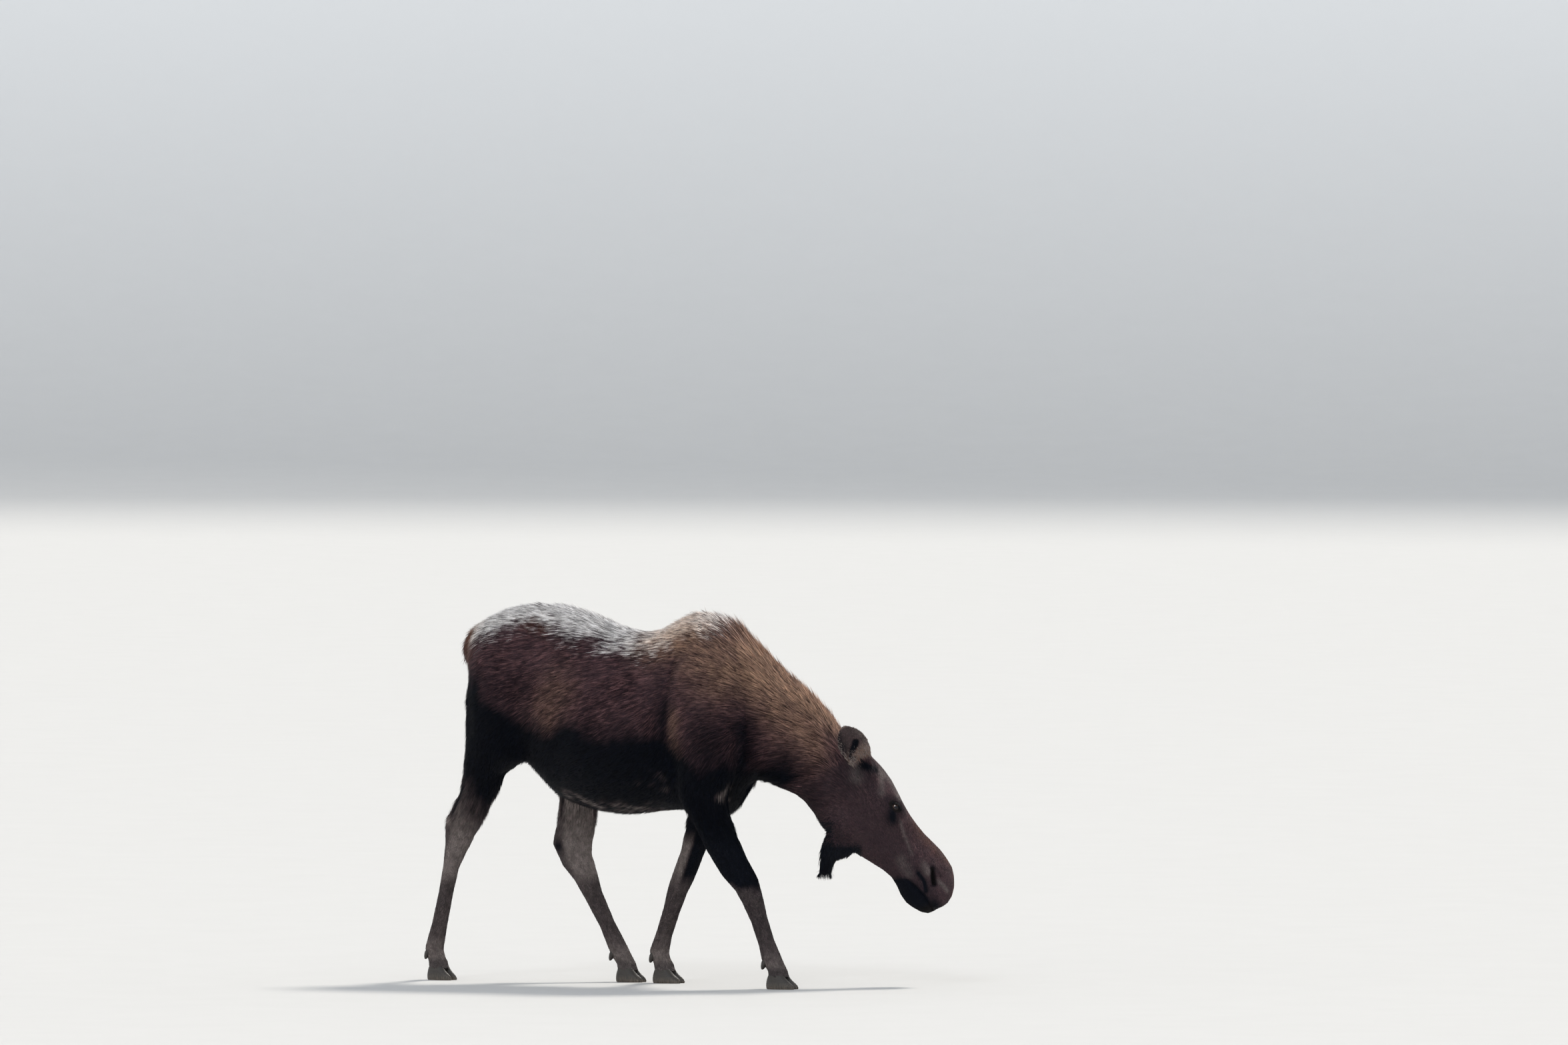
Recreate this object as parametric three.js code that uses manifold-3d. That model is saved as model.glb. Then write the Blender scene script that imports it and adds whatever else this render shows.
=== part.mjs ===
// A cow moose, life size, wading stride with the head lowered and turned to its left.
// Millimetres, +X forward, +Y to the animal's left, +Z up, hooves flat on z = 0.
import * as THREE from "three";
import { LoftGeometry } from "three/addons/geometries/LoftGeometry.js";
import { mergeVertices } from "three/addons/utils/BufferGeometryUtils.js";
import Module from "manifold-3d";

const wasm = await Module();
wasm.setup();

// ---- driving dimensions -------------------------------------------------
const GAP = 0.4; // slit that parts two neighbouring pieces
const TORSO_SIDES = 24;
const HEAD_SIDES = 24;
const LEG_SIDES = 12;
const CLAW_SIDES = 12;

const NECK_BEND_FROM = 560; // distance along the back where the neck starts to turn
const NECK_BEND_TO = 960; // and where the turn is complete
const HEAD_TURN = 38; // degrees the head points to the left of the trunk
const HEAD_PITCH = 61.9; // degrees the face slopes below the horizontal
const POLL = { s: 1193, z: 1000 }; // between the ears

const EYE_RADIUS = 20;
const EYE_AT = { t: 278, side: 88, n: 1 };
const SOCKET_GAP = 0.5; // between the ball and its socket
const EAR_LENGTH = 235;
const EAR_WIDTH = 132;
const NOSTRIL = { t: 613, side: 84, n: 4, half: [36, 13, 8], turn: 23 };

const CLAW_LENGTH = 122;
const CLAW_WIDTH = 45;
const CLAW_HEIGHT = 58;
const CLAW_SPREAD = 3; // degrees each claw turns outwards
const DEWCLAW_APART = 19; // half the distance between the two
const DEWCLAW_BACK = 19; // behind the line of the pastern
const DEWCLAW_DROP = 6;

// ---- colours -------------------------------------------------------------
const COLOUR = {
  flank: 0x50403a,
  crest: 0x6b5648,
  dark: 0x1d1a1c,
  stocking: 0x7a6f66,
  face: 0x5a4238,
  ear: 0x6e5a4a,
  horn: 0x2a2624,
  eye: 0x120c08,
};
const matte = (color) =>
  new THREE.MeshStandardMaterial({ color, roughness: 0.85, metalness: 0 });

// ---- helpers ---------------------------------------------------------------
const rad = THREE.MathUtils.degToRad;
const V = (x, y, z) => new THREE.Vector3(x, y, z);

// Catmull-Rom through rows of numbers, `steps` spans between two rows.
function spline(rows, steps) {
  const out = [];
  const at = (i) => rows[Math.min(Math.max(i, 0), rows.length - 1)];
  for (let i = 0; i < rows.length - 1; i++)
    for (let k = 0; k < steps; k++) {
      const t = k / steps;
      out.push(
        rows[i].map((_, c) => {
          const a = at(i - 1)[c], b = at(i)[c], d = at(i + 1)[c], e = at(i + 2)[c];
          return (
            0.5 *
            (2 * b + (d - a) * t + (2 * a - 5 * b + 4 * d - e) * t * t +
              (3 * b - a - 3 * d + e) * t * t * t)
          );
        }),
      );
    }
  out.push(rows[rows.length - 1].slice());
  return out;
}

// A ring of n points: `side` and `up` are unit directions, the ring reaches
// `half` to each side, `above` along up and `below` against it. The powers
// square the upper and the lower half (2 is an ellipse, less is a ridge).
function ring(n, centre, side, up, half, above, below, pUp = 2, pLow = 2) {
  const pts = [];
  for (let j = 0; j < n; j++) {
    const a = (2 * Math.PI * j) / n;
    const c = Math.cos(a), s = Math.sin(a);
    const p = s >= 0 ? pUp : pLow;
    const y = half * Math.sign(c) * Math.abs(c) ** (2 / p);
    const z = (s >= 0 ? above : below) * Math.sign(s) * Math.abs(s) ** (2 / p);
    pts.push(centre.clone().addScaledVector(side, y).addScaledVector(up, z));
  }
  return pts;
}

function solid(geometry) {
  const bare = new THREE.BufferGeometry()
    .setIndex(geometry.index)
    .setAttribute("position", geometry.getAttribute("position"));
  const m = mergeVertices(bare, 1e-3);
  return new wasm.Manifold(
    new wasm.Mesh({
      numProp: 3,
      vertProperties: new Float32Array(m.attributes.position.array),
      triVerts: new Uint32Array(m.index.array),
    }),
  );
}

// A closed surface through the rings, whichever way round they run.
function skin(rings) {
  const middle = (r) => r.reduce((a, p) => a.add(p), V(0, 0, 0)).divideScalar(r.length);
  const a = middle(rings[0]), along = middle(rings[1]).sub(a), face = V(0, 0, 0);
  rings[0].forEach((p, i) => {
    const q = rings[0][(i + 1) % rings[0].length];
    face.add(p.clone().sub(a).cross(q.clone().sub(a)));
  });
  const ordered = face.dot(along) < 0 ? rings.map((r) => [...r].reverse()) : rings;
  return new LoftGeometry(ordered, { capStart: true, capEnd: true });
}
const loft = (rings) => solid(skin(rings));
const join = (list) => list.reduce((a, b) => a.add(b));

// A block that starts at `point` and lies on the side that `normal` points to.
function block(point, normal, width, height, depth, shift = 0, roll = V(0, 0, 1)) {
  const z = normal.clone().normalize();
  const x = V(0, 0, 0).crossVectors(roll, z).normalize();
  const y = V(0, 0, 0).crossVectors(z, x);
  const g = new THREE.BoxGeometry(width, height, depth);
  g.translate(0, 0, depth / 2 + shift);
  const m = new THREE.Matrix4().makeBasis(x, y, z).setPosition(point);
  return solid(g.applyMatrix4(m));
}
// Splits a solid at that block's face, with the slit between the two.
function part(whole, point, normal, width, height, depth, roll) {
  const n = normal.clone().normalize();
  return {
    cut: whole.intersect(block(point, n, width, height, depth, GAP / 2, roll)),
    rest: whole.subtract(block(point, n, width + GAP, height + GAP, depth + GAP, -GAP / 2, roll)),
  };
}

// ---- the line of the back, seen from above ---------------------------------
// It runs straight through the trunk and turns left through the neck.
function spine(s) {
  if (s <= NECK_BEND_FROM) return { x: s, y: 0, turn: 0 };
  let x = NECK_BEND_FROM, y = 0, turn = 0;
  const step = 5;
  for (let d = NECK_BEND_FROM; d < s; d += step) {
    const len = Math.min(step, s - d);
    turn = rad(HEAD_TURN) * THREE.MathUtils.smoothstep(d + len / 2, NECK_BEND_FROM, NECK_BEND_TO);
    x += len * Math.cos(turn);
    y += len * Math.sin(turn);
  }
  return { x, y, turn };
}

// ---- trunk and neck ----------------------------------------------------------
// Each row: place and height of the top line, place and height of the under
// line, half width, height of the widest point (0 low, 1 high), power of the
// upper half, power of the lower half.
const TORSO = [
  [-612, 1436, -608, 1330, 34, 0.5, 2.0, 2.0], // root of the tail
  [-592, 1478, -590, 1235, 90, 0.45, 2.0, 2.0],
  [-548, 1520, -548, 1120, 142, 0.45, 1.9, 2.0], // pin bones
  [-480, 1553, -480, 1020, 184, 0.48, 1.8, 2.1],
  [-400, 1577, -400, 974, 206, 0.5, 1.7, 2.1],
  [-315, 1590, -315, 914, 216, 0.48, 1.65, 2.1], // hips
  [-235, 1594, -235, 840, 220, 0.45, 1.65, 2.1], // top of the croup
  [-150, 1588, -155, 776, 228, 0.42, 1.7, 2.1],
  [-60, 1566, -60, 744, 240, 0.4, 1.75, 2.1], // loin
  [40, 1532, 45, 722, 252, 0.38, 1.8, 2.1],
  [140, 1497, 145, 715, 258, 0.37, 1.8, 2.1], // deepest of the belly
  [240, 1482, 240, 722, 256, 0.37, 1.75, 2.1], // dip behind the hump
  [325, 1498, 330, 736, 248, 0.37, 1.6, 2.1],
  [410, 1543, 415, 740, 238, 0.37, 1.5, 2.1],
  [495, 1573, 500, 732, 226, 0.38, 1.45, 2.1], // top of the hump
  [570, 1565, 580, 722, 214, 0.39, 1.5, 2.0],
  [640, 1541, 655, 740, 198, 0.4, 1.6, 2.0], // brisket
  [703, 1503, 707, 812, 182, 0.42, 1.7, 2.0],
  [748, 1455, 748, 860, 166, 0.44, 1.75, 2.0], // base of the neck
  [800, 1405, 790, 866, 150, 0.46, 1.75, 2.0],
  [850, 1353, 838, 843, 134, 0.46, 1.75, 2.0],
  [905, 1304, 885, 818, 120, 0.46, 1.75, 2.0],
  [960, 1256, 928, 797, 110, 0.46, 1.8, 2.0],
  [1010, 1208, 962, 768, 103, 0.46, 1.85, 2.0],
  [1060, 1154, 1000, 718, 97, 0.48, 1.9, 2.0], // throat latch
  [1110, 1092, 1050, 690, 90, 0.5, 2.0, 2.0],
  [1160, 1022, 1100, 690, 76, 0.5, 2.0, 2.0],
];
// Swellings and hollows of the side of the trunk: place along the back,
// height, reach along and up, how far it stands out (minus sinks in).
const FORMS = [
  [-335, 1475, 70, 55, 16], // point of the hip
  [-215, 1240, 95, 120, -20], // flank hollow
  [60, 1050, 240, 190, 10], // spring of the ribs
  [395, 1180, 60, 230, -10], // behind the shoulder blade
  [-40, 1480, 170, 45, 8], // loin muscle
  [560, 1330, 90, 120, 8], // top of the shoulder blade
];

function torsoRings(grow = 0) {
  return TORSO.map(([sTop, zTop, sLow, zLow, half, wide, pUp, pLow]) => {
    const a = spine(sTop), b = spine(sLow);
    const top = V(a.x, a.y, zTop), low = V(b.x, b.y, zLow);
    const turn = (a.turn + b.turn) / 2;
    const side = V(-Math.sin(turn), Math.cos(turn), 0);
    const centre = low.clone().lerp(top, wide);
    const up = top.clone().sub(low).normalize();
    const pts = ring(TORSO_SIDES, centre, side, up, half + grow,
      top.distanceTo(centre) + grow, low.distanceTo(centre) + grow, pUp, pLow);
    const s = (sTop + sLow) / 2;
    for (const p of pts) {
      const out = p.clone().sub(centre).dot(side) / half;
      let bulge = 0;
      for (const [fs, fz, rs, rz, h] of FORMS)
        bulge += h * Math.exp(-(((s - fs) / rs) ** 2) - ((p.z - fz) / rz) ** 2);
      p.addScaledVector(side, bulge * Math.sign(out) * Math.min(1, Math.abs(out) * 1.6));
    }
    return pts;
  });
}

// ---- legs ----------------------------------------------------------------------
// Each row: forward place, sideways place, height, half depth to the front,
// half depth to the back, half width. Rings lie square to the bone.
function leg(rows, steps, grow = 0) {
  const fine = spline(rows, steps);
  const at = (i) => V(fine[i][0], fine[i][1], fine[i][2]);
  const rings = fine.map((row, i) => {
    const along = at(Math.min(i + 1, fine.length - 1)).sub(at(Math.max(i - 1, 0))).normalize();
    if (i === fine.length - 1) along.set(0, 0, -1);
    const side = V(0, 1, 0).addScaledVector(along, -along.y).normalize();
    const up = along.clone().cross(side).normalize(); // side x up = along
    return ring(LEG_SIDES, at(i), side, up, row[5] + grow, row[3] + grow, row[4] + grow);
  });
  return loft(rings);
}

const LEGS = {
  fore_right: [
    [470, -62, 1425, 70, 70, 50], // top of the shoulder blade
    [520, -98, 1300, 118, 108, 72],
    [580, -128, 1160, 152, 132, 88],
    [608, -146, 1030, 160, 148, 95], // point of the shoulder
    [600, -152, 905, 146, 138, 92],
    [598, -152, 800, 112, 112, 80], // elbow
    [630, -146, 710, 82, 82, 64],
    [676, -138, 610, 76, 80, 56],
    [730, -130, 510, 68, 70, 50],
    [786, -124, 435, 57, 57, 47], // knee
    [812, -121, 375, 48, 48, 42],
    [844, -118, 290, 36, 38, 35], // cannon
    [878, -116, 195, 34, 37, 34],
    [903, -115, 128, 40, 45, 41], // fetlock
    [925, -115, 90, 37, 39, 38],
    [938, -115, 58.4, 46, 46, 45], // coronet
  ],
  fore_left: [
    [460, 62, 1425, 70, 70, 50],
    [505, 98, 1300, 118, 108, 72],
    [555, 128, 1160, 150, 132, 88],
    [568, 146, 1030, 158, 148, 95],
    [530, 152, 905, 150, 140, 92],
    [474, 150, 800, 118, 112, 80],
    [432, 142, 715, 80, 76, 62],
    [402, 134, 635, 60, 60, 52],
    [376, 126, 545, 50, 50, 46],
    [346, 120, 465, 48, 50, 45],
    [314, 117, 395, 43, 45, 42],
    [284, 115, 305, 36, 38, 35],
    [250, 113, 205, 34, 37, 34],
    [228, 112, 132, 40, 45, 41],
    [240, 112, 92, 37, 39, 38],
    [256, 112, 58.4, 46, 46, 45],
  ],
  hind_right: [
    [-410, -72, 1470, 90, 100, 60], // hip
    [-396, -104, 1360, 150, 160, 96],
    [-388, -122, 1240, 178, 181, 112],
    [-386, -128, 1110, 180, 188, 116], // thigh
    [-410, -130, 1010, 160, 171, 106],
    [-470, -128, 930, 97, 116, 88], // stifle
    [-514, -124, 860, 111, 76, 68],
    [-541, -122, 780, 90, 64, 58], // gaskin
    [-574, -120, 700, 80, 80, 50], // point of the hock
    [-602, -119, 635, 66, 86, 46],
    [-628, -118, 555, 46, 56, 40],
    [-655, -117, 480, 33, 37, 34],
    [-681, -116, 371, 30, 33, 32], // cannon
    [-712, -115, 240, 32, 35, 33],
    [-738, -115, 132, 38, 43, 39], // fetlock
    [-728, -115, 92, 36, 38, 37],
    [-716, -115, 58.4, 45, 45, 43],
  ],
  hind_left: [
    [-400, 72, 1470, 90, 100, 60],
    [-372, 104, 1360, 150, 160, 96],
    [-335, 122, 1240, 178, 178, 112],
    [-285, 128, 1110, 184, 182, 116],
    [-235, 130, 1010, 168, 172, 106],
    [-190, 128, 920, 136, 140, 90],
    [-170, 124, 840, 112, 108, 72],
    [-174, 122, 755, 92, 90, 58],
    [-184, 120, 665, 95, 90, 54],
    [-196, 119, 582, 88, 101, 51], // hock
    [-178, 118, 512, 72, 75, 46],
    [-142, 117, 448, 60, 53, 40],
    [-98, 116, 366, 40, 43, 36],
    [-30, 115, 244, 32, 35, 33],
    [30, 114, 134, 38, 43, 39],
    [56, 114, 92, 36, 38, 37],
    [72, 114, 58.4, 45, 45, 43],
  ],
};
// Where a leg is parted: its side, the reach of the leg along the body, the
// middle of the slope where it leaves the trunk, of the knee or hock and of
// the fetlock, and the direction of the cannon bone.
const LEG_CUTS = {
  fore_right: {
    side: -1, from: 340, to: 1200, top: [600, -150, 762],
    knee: [798, -122, 408], foot: [892, -115, 156], along: [0.4, 0, -0.92],
  },
  fore_left: {
    side: 1, from: 165, to: 760, top: [470, 150, 762],
    knee: [332, 118, 432], foot: [236, 112, 160], along: [-0.33, 0, -0.94],
  },
  hind_right: {
    side: -1, from: -1000, to: -300, top: [-430, -130, 930],
    knee: [-622, -118, 575], foot: [-731, -115, 160], along: [-0.24, 0, -0.97],
  },
  hind_left: {
    side: 1, from: -430, to: 165, top: [-215, 125, 730],
    knee: [-165, 118, 492], foot: [16, 114, 162], along: [0.48, 0, -0.88],
  },
};

// One claw of a cloven hoof, toe forward, inner wall straight. `inner` is -1
// where the other claw lies on its right.
function claw(x, y, inner, turn, size) {
  const rows = [
    // height, toe, heel, half width
    [0, 0.57, 0.43, 0.5],
    [0.15, 0.57, 0.45, 0.52],
    [0.6, 0.35, 0.44, 0.46],
    [1, 0.18, 0.4, 0.38],
  ];
  const rings = rows.map(([h, toe, heel, wide]) => {
    const pts = [];
    for (let j = 0; j < CLAW_SIDES; j++) {
      const a = (2 * Math.PI * j) / CLAW_SIDES;
      const c = Math.cos(a), s = Math.sin(a);
      const px = (c >= 0 ? toe : heel) * CLAW_LENGTH * size * c;
      let py = wide * CLAW_WIDTH * size * Math.sign(s) * Math.abs(s) ** (c > 0 ? 1.25 : 0.8);
      if (py * inner > 0) py *= 0.72;
      pts.push(V(px, py + inner * 0.1 * px, h * CLAW_HEIGHT));
    }
    return pts;
  });
  const m = new THREE.Matrix4()
    .makeRotationZ(rad(turn))
    .setPosition(x, y, 0);
  return solid(skin(rings).applyMatrix4(m));
}

// A small hind claw: a blunt cone that points down and back.
function dewclaw(x, y, z, outward, size) {
  const rings = [[0, 14, 13], [14, 16, 14], [30, 12, 10], [44, 5, 4]].map(([d, a, b]) =>
    ring(6, V(-0.3 * d, outward * 0.18 * d, -0.94 * d).multiplyScalar(size), V(0, 1, 0),
      V(0.94, 0, -0.3), a * size, b * size, b * size));
  return solid(skin(rings).translate(x, y, z));
}

// ---- head -----------------------------------------------------------------------
// In the head's own frame: t runs from the poll to the nose, y to the left and
// n out of the forehead. Each row: t, n of the upper and the lower outline,
// half width, height of the widest point, power above, power below.
const HEAD = [
  [-50, -40, -200, 66, 0.55, 2.2, 2.0],
  [-20, 0, -262, 82, 0.6, 2.2, 2.0],
  [30, 18, -298, 92, 0.62, 2.2, 2.0], // poll
  [80, 30, -306, 98, 0.64, 2.3, 2.0],
  [130, 43, -306, 99, 0.66, 2.4, 1.9],
  [180, 50, -304, 98, 0.68, 2.5, 1.8], // cheek
  [230, 49, -297, 102, 0.72, 2.6, 1.75],
  [270, 47, -285, 106, 0.76, 2.6, 1.7], // brow
  [305, 47, -268, 102, 0.76, 2.5, 1.7],
  [345, 50, -245, 86, 0.72, 2.2, 1.75],
  [395, 57, -219, 71, 0.64, 2.1, 1.8],
  [445, 67, -190, 62, 0.6, 2.1, 1.9], // bridge of the nose
  [495, 83, -161, 59, 0.56, 2.1, 2.0],
  [540, 96, -143, 64, 0.56, 2.1, 2.1],
  [585, 102, -140, 75, 0.58, 2.2, 2.2],
  [625, 103, -143, 84, 0.6, 2.3, 2.2], // nostrils
  [665, 92, -138, 87, 0.6, 2.4, 2.2],
  [700, 73, -121, 83, 0.58, 2.4, 2.2],
  [730, 46, -100, 70, 0.56, 2.3, 2.2],
  [748, 15, -77, 46, 0.54, 2.1, 2.1], // upper lip
];
// Forms of the head: t, n, reach along t and n, how far they stand out sideways.
const FACE = [
  [250, 32, 40, 22, 9], // brow ridge
  [318, -28, 60, 20, 9], // cheekbone
  [190, -114, 80, 70, 8], // jaw muscle
  [430, -12, 70, 30, -5], // hollow of the cheek
  [582, -10, 22, 24, 8], // wing of the nostril
  [658, -18, 50, 34, 6], // upper lip
  [630, -84, 90, 9, -9], // line of the mouth
  [580, -114, 46, 22, 6], // lower lip
];

function headRings(grow = 0) {
  return HEAD.map(([t, top, low, half, wide, pUp, pLow]) => {
    const centre = V(t, 0, low + (top - low) * wide);
    const pts = ring(HEAD_SIDES, centre, V(0, 1, 0), V(0, 0, 1), half + grow,
      top - centre.z + grow, centre.z - low + grow, pUp, pLow);
    for (const p of pts) {
      let g = 0;
      for (const [ft, fn, rt, rn, h] of FACE)
        g += h * Math.exp(-(((t - ft) / rt) ** 2) - ((p.z - fn) / rn) ** 2);
      p.y += g * Math.sign(p.y) * Math.min(1, (Math.abs(p.y) / half) * 1.5);
    }
    return pts;
  });
}

// The head's frame in the animal's frame.
const headFrame = (() => {
  const p = spine(POLL.s);
  const turn = rad(HEAD_TURN), pitch = rad(HEAD_PITCH);
  const t = V(Math.cos(pitch) * Math.cos(turn), Math.cos(pitch) * Math.sin(turn), -Math.sin(pitch));
  const y = V(-Math.sin(turn), Math.cos(turn), 0);
  const n = t.clone().cross(y);
  return new THREE.Matrix4().makeBasis(t, y, n).setPosition(p.x, p.y, POLL.z);
})();
const inHead = (t, y, n) => V(t, y, n).applyMatrix4(headFrame);
const headDir = (t, y, n) => V(t, y, n).transformDirection(headFrame);
const placeInHead = (g) => solid(g.applyMatrix4(headFrame));

// An ear: a cupped leaf. `hand` is -1 for the right ear and 1 for the left,
// which the animal holds a little lower.
const EAR_ROOT = { t: 61, side: 70, n: -28 };
const EAR_AXIS = { "-1": [-0.865, -0.5, -0.075], 1: [-0.77, 0.6, -0.2] };
function ear(hand) {
  const axis = V(...EAR_AXIS[hand]).normalize();
  const open = V(0.506, hand * 0.857, -0.097);
  open.addScaledVector(axis, -open.dot(axis)).normalize();
  const across = axis.clone().cross(open).normalize();
  const root = V(EAR_ROOT.t, hand * EAR_ROOT.side, EAR_ROOT.n);
  const rows = [
    // along, half width, depth of the cup, thickness
    [-0.14, 0.2, 0.02, 0.2],
    [0.0, 0.27, 0.1, 0.19],
    [0.14, 0.36, 0.2, 0.15],
    [0.3, 0.46, 0.26, 0.12],
    [0.48, 0.5, 0.26, 0.1],
    [0.66, 0.47, 0.2, 0.09],
    [0.82, 0.36, 0.12, 0.08],
    [0.94, 0.2, 0.05, 0.07],
    [1.0, 0.07, 0.01, 0.05],
  ];
  const N = 9;
  const rings = rows.map(([d, wide, cup, thick]) => {
    const pts = [];
    const point = (w, depth) =>
      root.clone().addScaledVector(axis, d * EAR_LENGTH)
        .addScaledVector(across, w * wide * EAR_WIDTH)
        .addScaledVector(open, depth * EAR_WIDTH);
    for (let j = 0; j < N; j++) {
      const w = -1 + (2 * j) / (N - 1); // back of the ear
      pts.push(point(w, -(cup + thick) * Math.sqrt(Math.max(0, 1 - w * w * 0.98)) + 0.14));
    }
    for (let j = N - 2; j > 0; j--) {
      const w = -1 + (2 * j) / (N - 1); // inside of the cup
      pts.push(point(w * 0.96, -cup * (1 - w * w) + 0.14));
    }
    return pts;
  });
  return placeInHead(skin(rings));
}

// ---- build the whole, then part it --------------------------------------------
const legSolids = Object.fromEntries(
  Object.entries(LEGS).map(([name, rows]) => [name, leg(rows, 1)]),
);
const torso = loft(torsoRings());
let head = placeInHead(skin(headRings()));

const pieces = new Map();
const keep = (name, made, colour) => pieces.set(name, { made, colour });

// nostrils: a long pit on each side of the muzzle
for (const hand of [-1, 1]) {
  const g = new THREE.SphereGeometry(1, 12, 8);
  g.scale(...NOSTRIL.half);
  g.rotateY(rad(NOSTRIL.turn));
  g.translate(NOSTRIL.t, hand * NOSTRIL.side, NOSTRIL.n);
  head = head.subtract(placeInHead(g));
}

// eyes, set deep in their sockets
const EYES = { eye_right: -1, eye_left: 1 };
function eyeball(hand, radius) {
  const at = inHead(EYE_AT.t, hand * EYE_AT.side, EYE_AT.n);
  const g = new THREE.SphereGeometry(radius, 12, 8);
  g.rotateX(Math.PI / 2);
  g.translate(at.x, at.y, at.z);
  return solid(g);
}

// ears
const ears = {};
for (const [name, hand] of [["ear_right", -1], ["ear_left", 1]]) {
  const whole = ear(hand);
  const root = inHead(EAR_ROOT.t - 26, hand * (EAR_ROOT.side + 24), EAR_ROOT.n - 2);
  const axis = headDir(...EAR_AXIS[hand]);
  const split = part(whole, root, axis, 600, 600, 500);
  // it lies clear of the neck and the crown
  ears[name] = split.cut
    .subtract(loft(torsoRings(GAP)))
    .subtract(placeInHead(skin(headRings(GAP))));
  head = head.add(split.rest);
}

// bell: a flap of skin that hangs from the throat and ends in two tassels
const bellTop = inHead(290, 0, -285);
function bell() {
  const along = V(Math.cos(rad(HEAD_TURN)), Math.sin(rad(HEAD_TURN)), 0);
  const side = V(-along.y, along.x, 0);
  const strand = (sides, rows) =>
    loft(rows.map(([d, f, a, b]) =>
      ring(sides, bellTop.clone().addScaledVector(along, f).setZ(bellTop.z - d),
        side, along, b, a, a)));
  return join([
    // height below the throat, forward shift, half length, half width
    strand(12, [
      [-50, 22, 46, 20], [10, 18, 68, 22], [46, 14, 74, 20], [64, 3, 63, 17],
      [78, -22, 39, 15], [98, -31, 32, 12], [116, -36, 24, 8],
    ]),
    strand(8, [[70, -36, 19, 13], [100, -49, 15, 11], [130, -59, 9, 7], [149, -67, 3, 2.5]]),
    strand(8, [[70, -17, 17, 13], [100, -19, 14, 11], [130, -15, 9, 7], [151, -12, 3, 2.5]]),
  ]);
}
const bellWhole = bell();

// tail: short and pressed to the rump
const tail = leg([
  [-560, 0, 1486, 26, 26, 30],
  [-606, 0, 1462, 22, 22, 28],
  [-634, 0, 1424, 20, 20, 30],
  [-643, 0, 1386, 16, 16, 25],
  [-642, 0, 1362, 8, 8, 12],
], 1);

let body = join([torso, head, ...Object.values(legSolids), tail, bellWhole]);

// legs: each leaves the trunk on a slope, lower inside than outside
function legRegion(cut, grow) {
  const half = (cut.to - cut.from) / 2 + grow;
  const wide = 500, high = 1400, past = 3000; // well past the leg on every side
  const inner = 4, under = 100; // from the middle plane, and below the floor
  const normal = V(0, cut.side * 0.62, -0.78);
  const slope = block(V(...cut.top), normal, past, past, past, -grow, V(1, 0, 0));
  const near = new THREE.BoxGeometry(2 * half, wide + grow, high);
  const middle = (cut.from + cut.to) / 2;
  near.translate(middle, (cut.side * (wide - grow + inner)) / 2, high / 2 - under);
  return slope.intersect(solid(near));
}
for (const [name, cut] of Object.entries(LEG_CUTS)) {
  const [end, hand] = name.split("_");
  const limb = body.intersect(legRegion(cut, 0));
  body = body.subtract(legRegion(cut, GAP));
  const along = V(...cut.along);
  const foot = part(limb, V(...cut.foot), along, 400, 400, 500, V(0, 1, 0));
  const shank = part(foot.rest, V(...cut.knee), along, 500, 500, 900, V(0, 1, 0));
  keep((end === "fore" ? "forearm_" : "gaskin_") + hand, shank.rest, COLOUR.dark);
  keep(end + "_cannon_" + hand, shank.cut, COLOUR.stocking);
  keep(end + "_pastern_" + hand, foot.cut, COLOUR.stocking);
}

// hooves and dewclaws
const FEET = {
  fore_right: [948, -115, 4, 1],
  fore_left: [266, 112, 4, 1],
  hind_right: [-706, -115, -6, 0.95],
  hind_left: [82, 114, 6, 0.95],
};
for (const [name, [x, y, turn, size]] of Object.entries(FEET)) {
  const apart = CLAW_WIDTH * 0.5 * size;
  for (const [which, hand] of [["left", 1], ["right", -1]]) {
    const off = V(0, hand * apart, 0).applyAxisAngle(V(0, 0, 1), rad(turn));
    keep(name + "_claw_" + which,
      claw(x + off.x, y + off.y, -hand, turn + hand * CLAW_SPREAD, size), COLOUR.horn);
  }
  // the dewclaws sit on the back of the pastern
  const [fx, fy, fz] = LEGS[name][LEGS[name].length - 3];
  for (const [which, hand] of [["left", 1], ["right", -1]])
    keep(name + "_dewclaw_" + which,
      dewclaw(fx - DEWCLAW_BACK, fy + hand * DEWCLAW_APART, fz - DEWCLAW_DROP, hand, size)
        .subtract(leg(LEGS[name], 1, GAP)), COLOUR.horn);
}

// tail, bell, head and neck come off the trunk
const tailSplit = part(body, V(-656, 0, 1424), V(0, 0, -1), 120, 87, 100, V(1, 0, 0));
body = tailSplit.rest;
keep("tail", tailSplit.cut, COLOUR.flank);

const bellSplit = part(body, inHead(291, 0, -313), V(-0.45, -0.35, -0.9), 120, 230, 260,
  V(Math.cos(rad(HEAD_TURN)), Math.sin(rad(HEAD_TURN)), 0));
body = bellSplit.rest;
keep("bell", bellSplit.cut, COLOUR.dark);

const headSplit = part(body, inHead(-4, 0, 0), headDir(0.94, 0, 0.34), 700, 1100, 1100, V(0, 0, 1));
body = headSplit.rest;
let skull = headSplit.cut;

const base = spine(735);
const neckSplit = part(body, V(base.x, base.y, 1160), V(0.93, 0.2, -0.3), 900, 900, 900);
body = neckSplit.rest;
keep("neck", neckSplit.cut, COLOUR.crest);
keep("trunk", body, COLOUR.flank);

for (const [name, hand] of Object.entries(EYES)) {
  skull = skull.subtract(eyeball(hand, EYE_RADIUS + SOCKET_GAP));
  keep(name, eyeball(hand, EYE_RADIUS), COLOUR.eye);
}
keep("head", skull, COLOUR.face);
keep("ear_right", ears.ear_right, COLOUR.ear);
keep("ear_left", ears.ear_left, COLOUR.ear);

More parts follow.
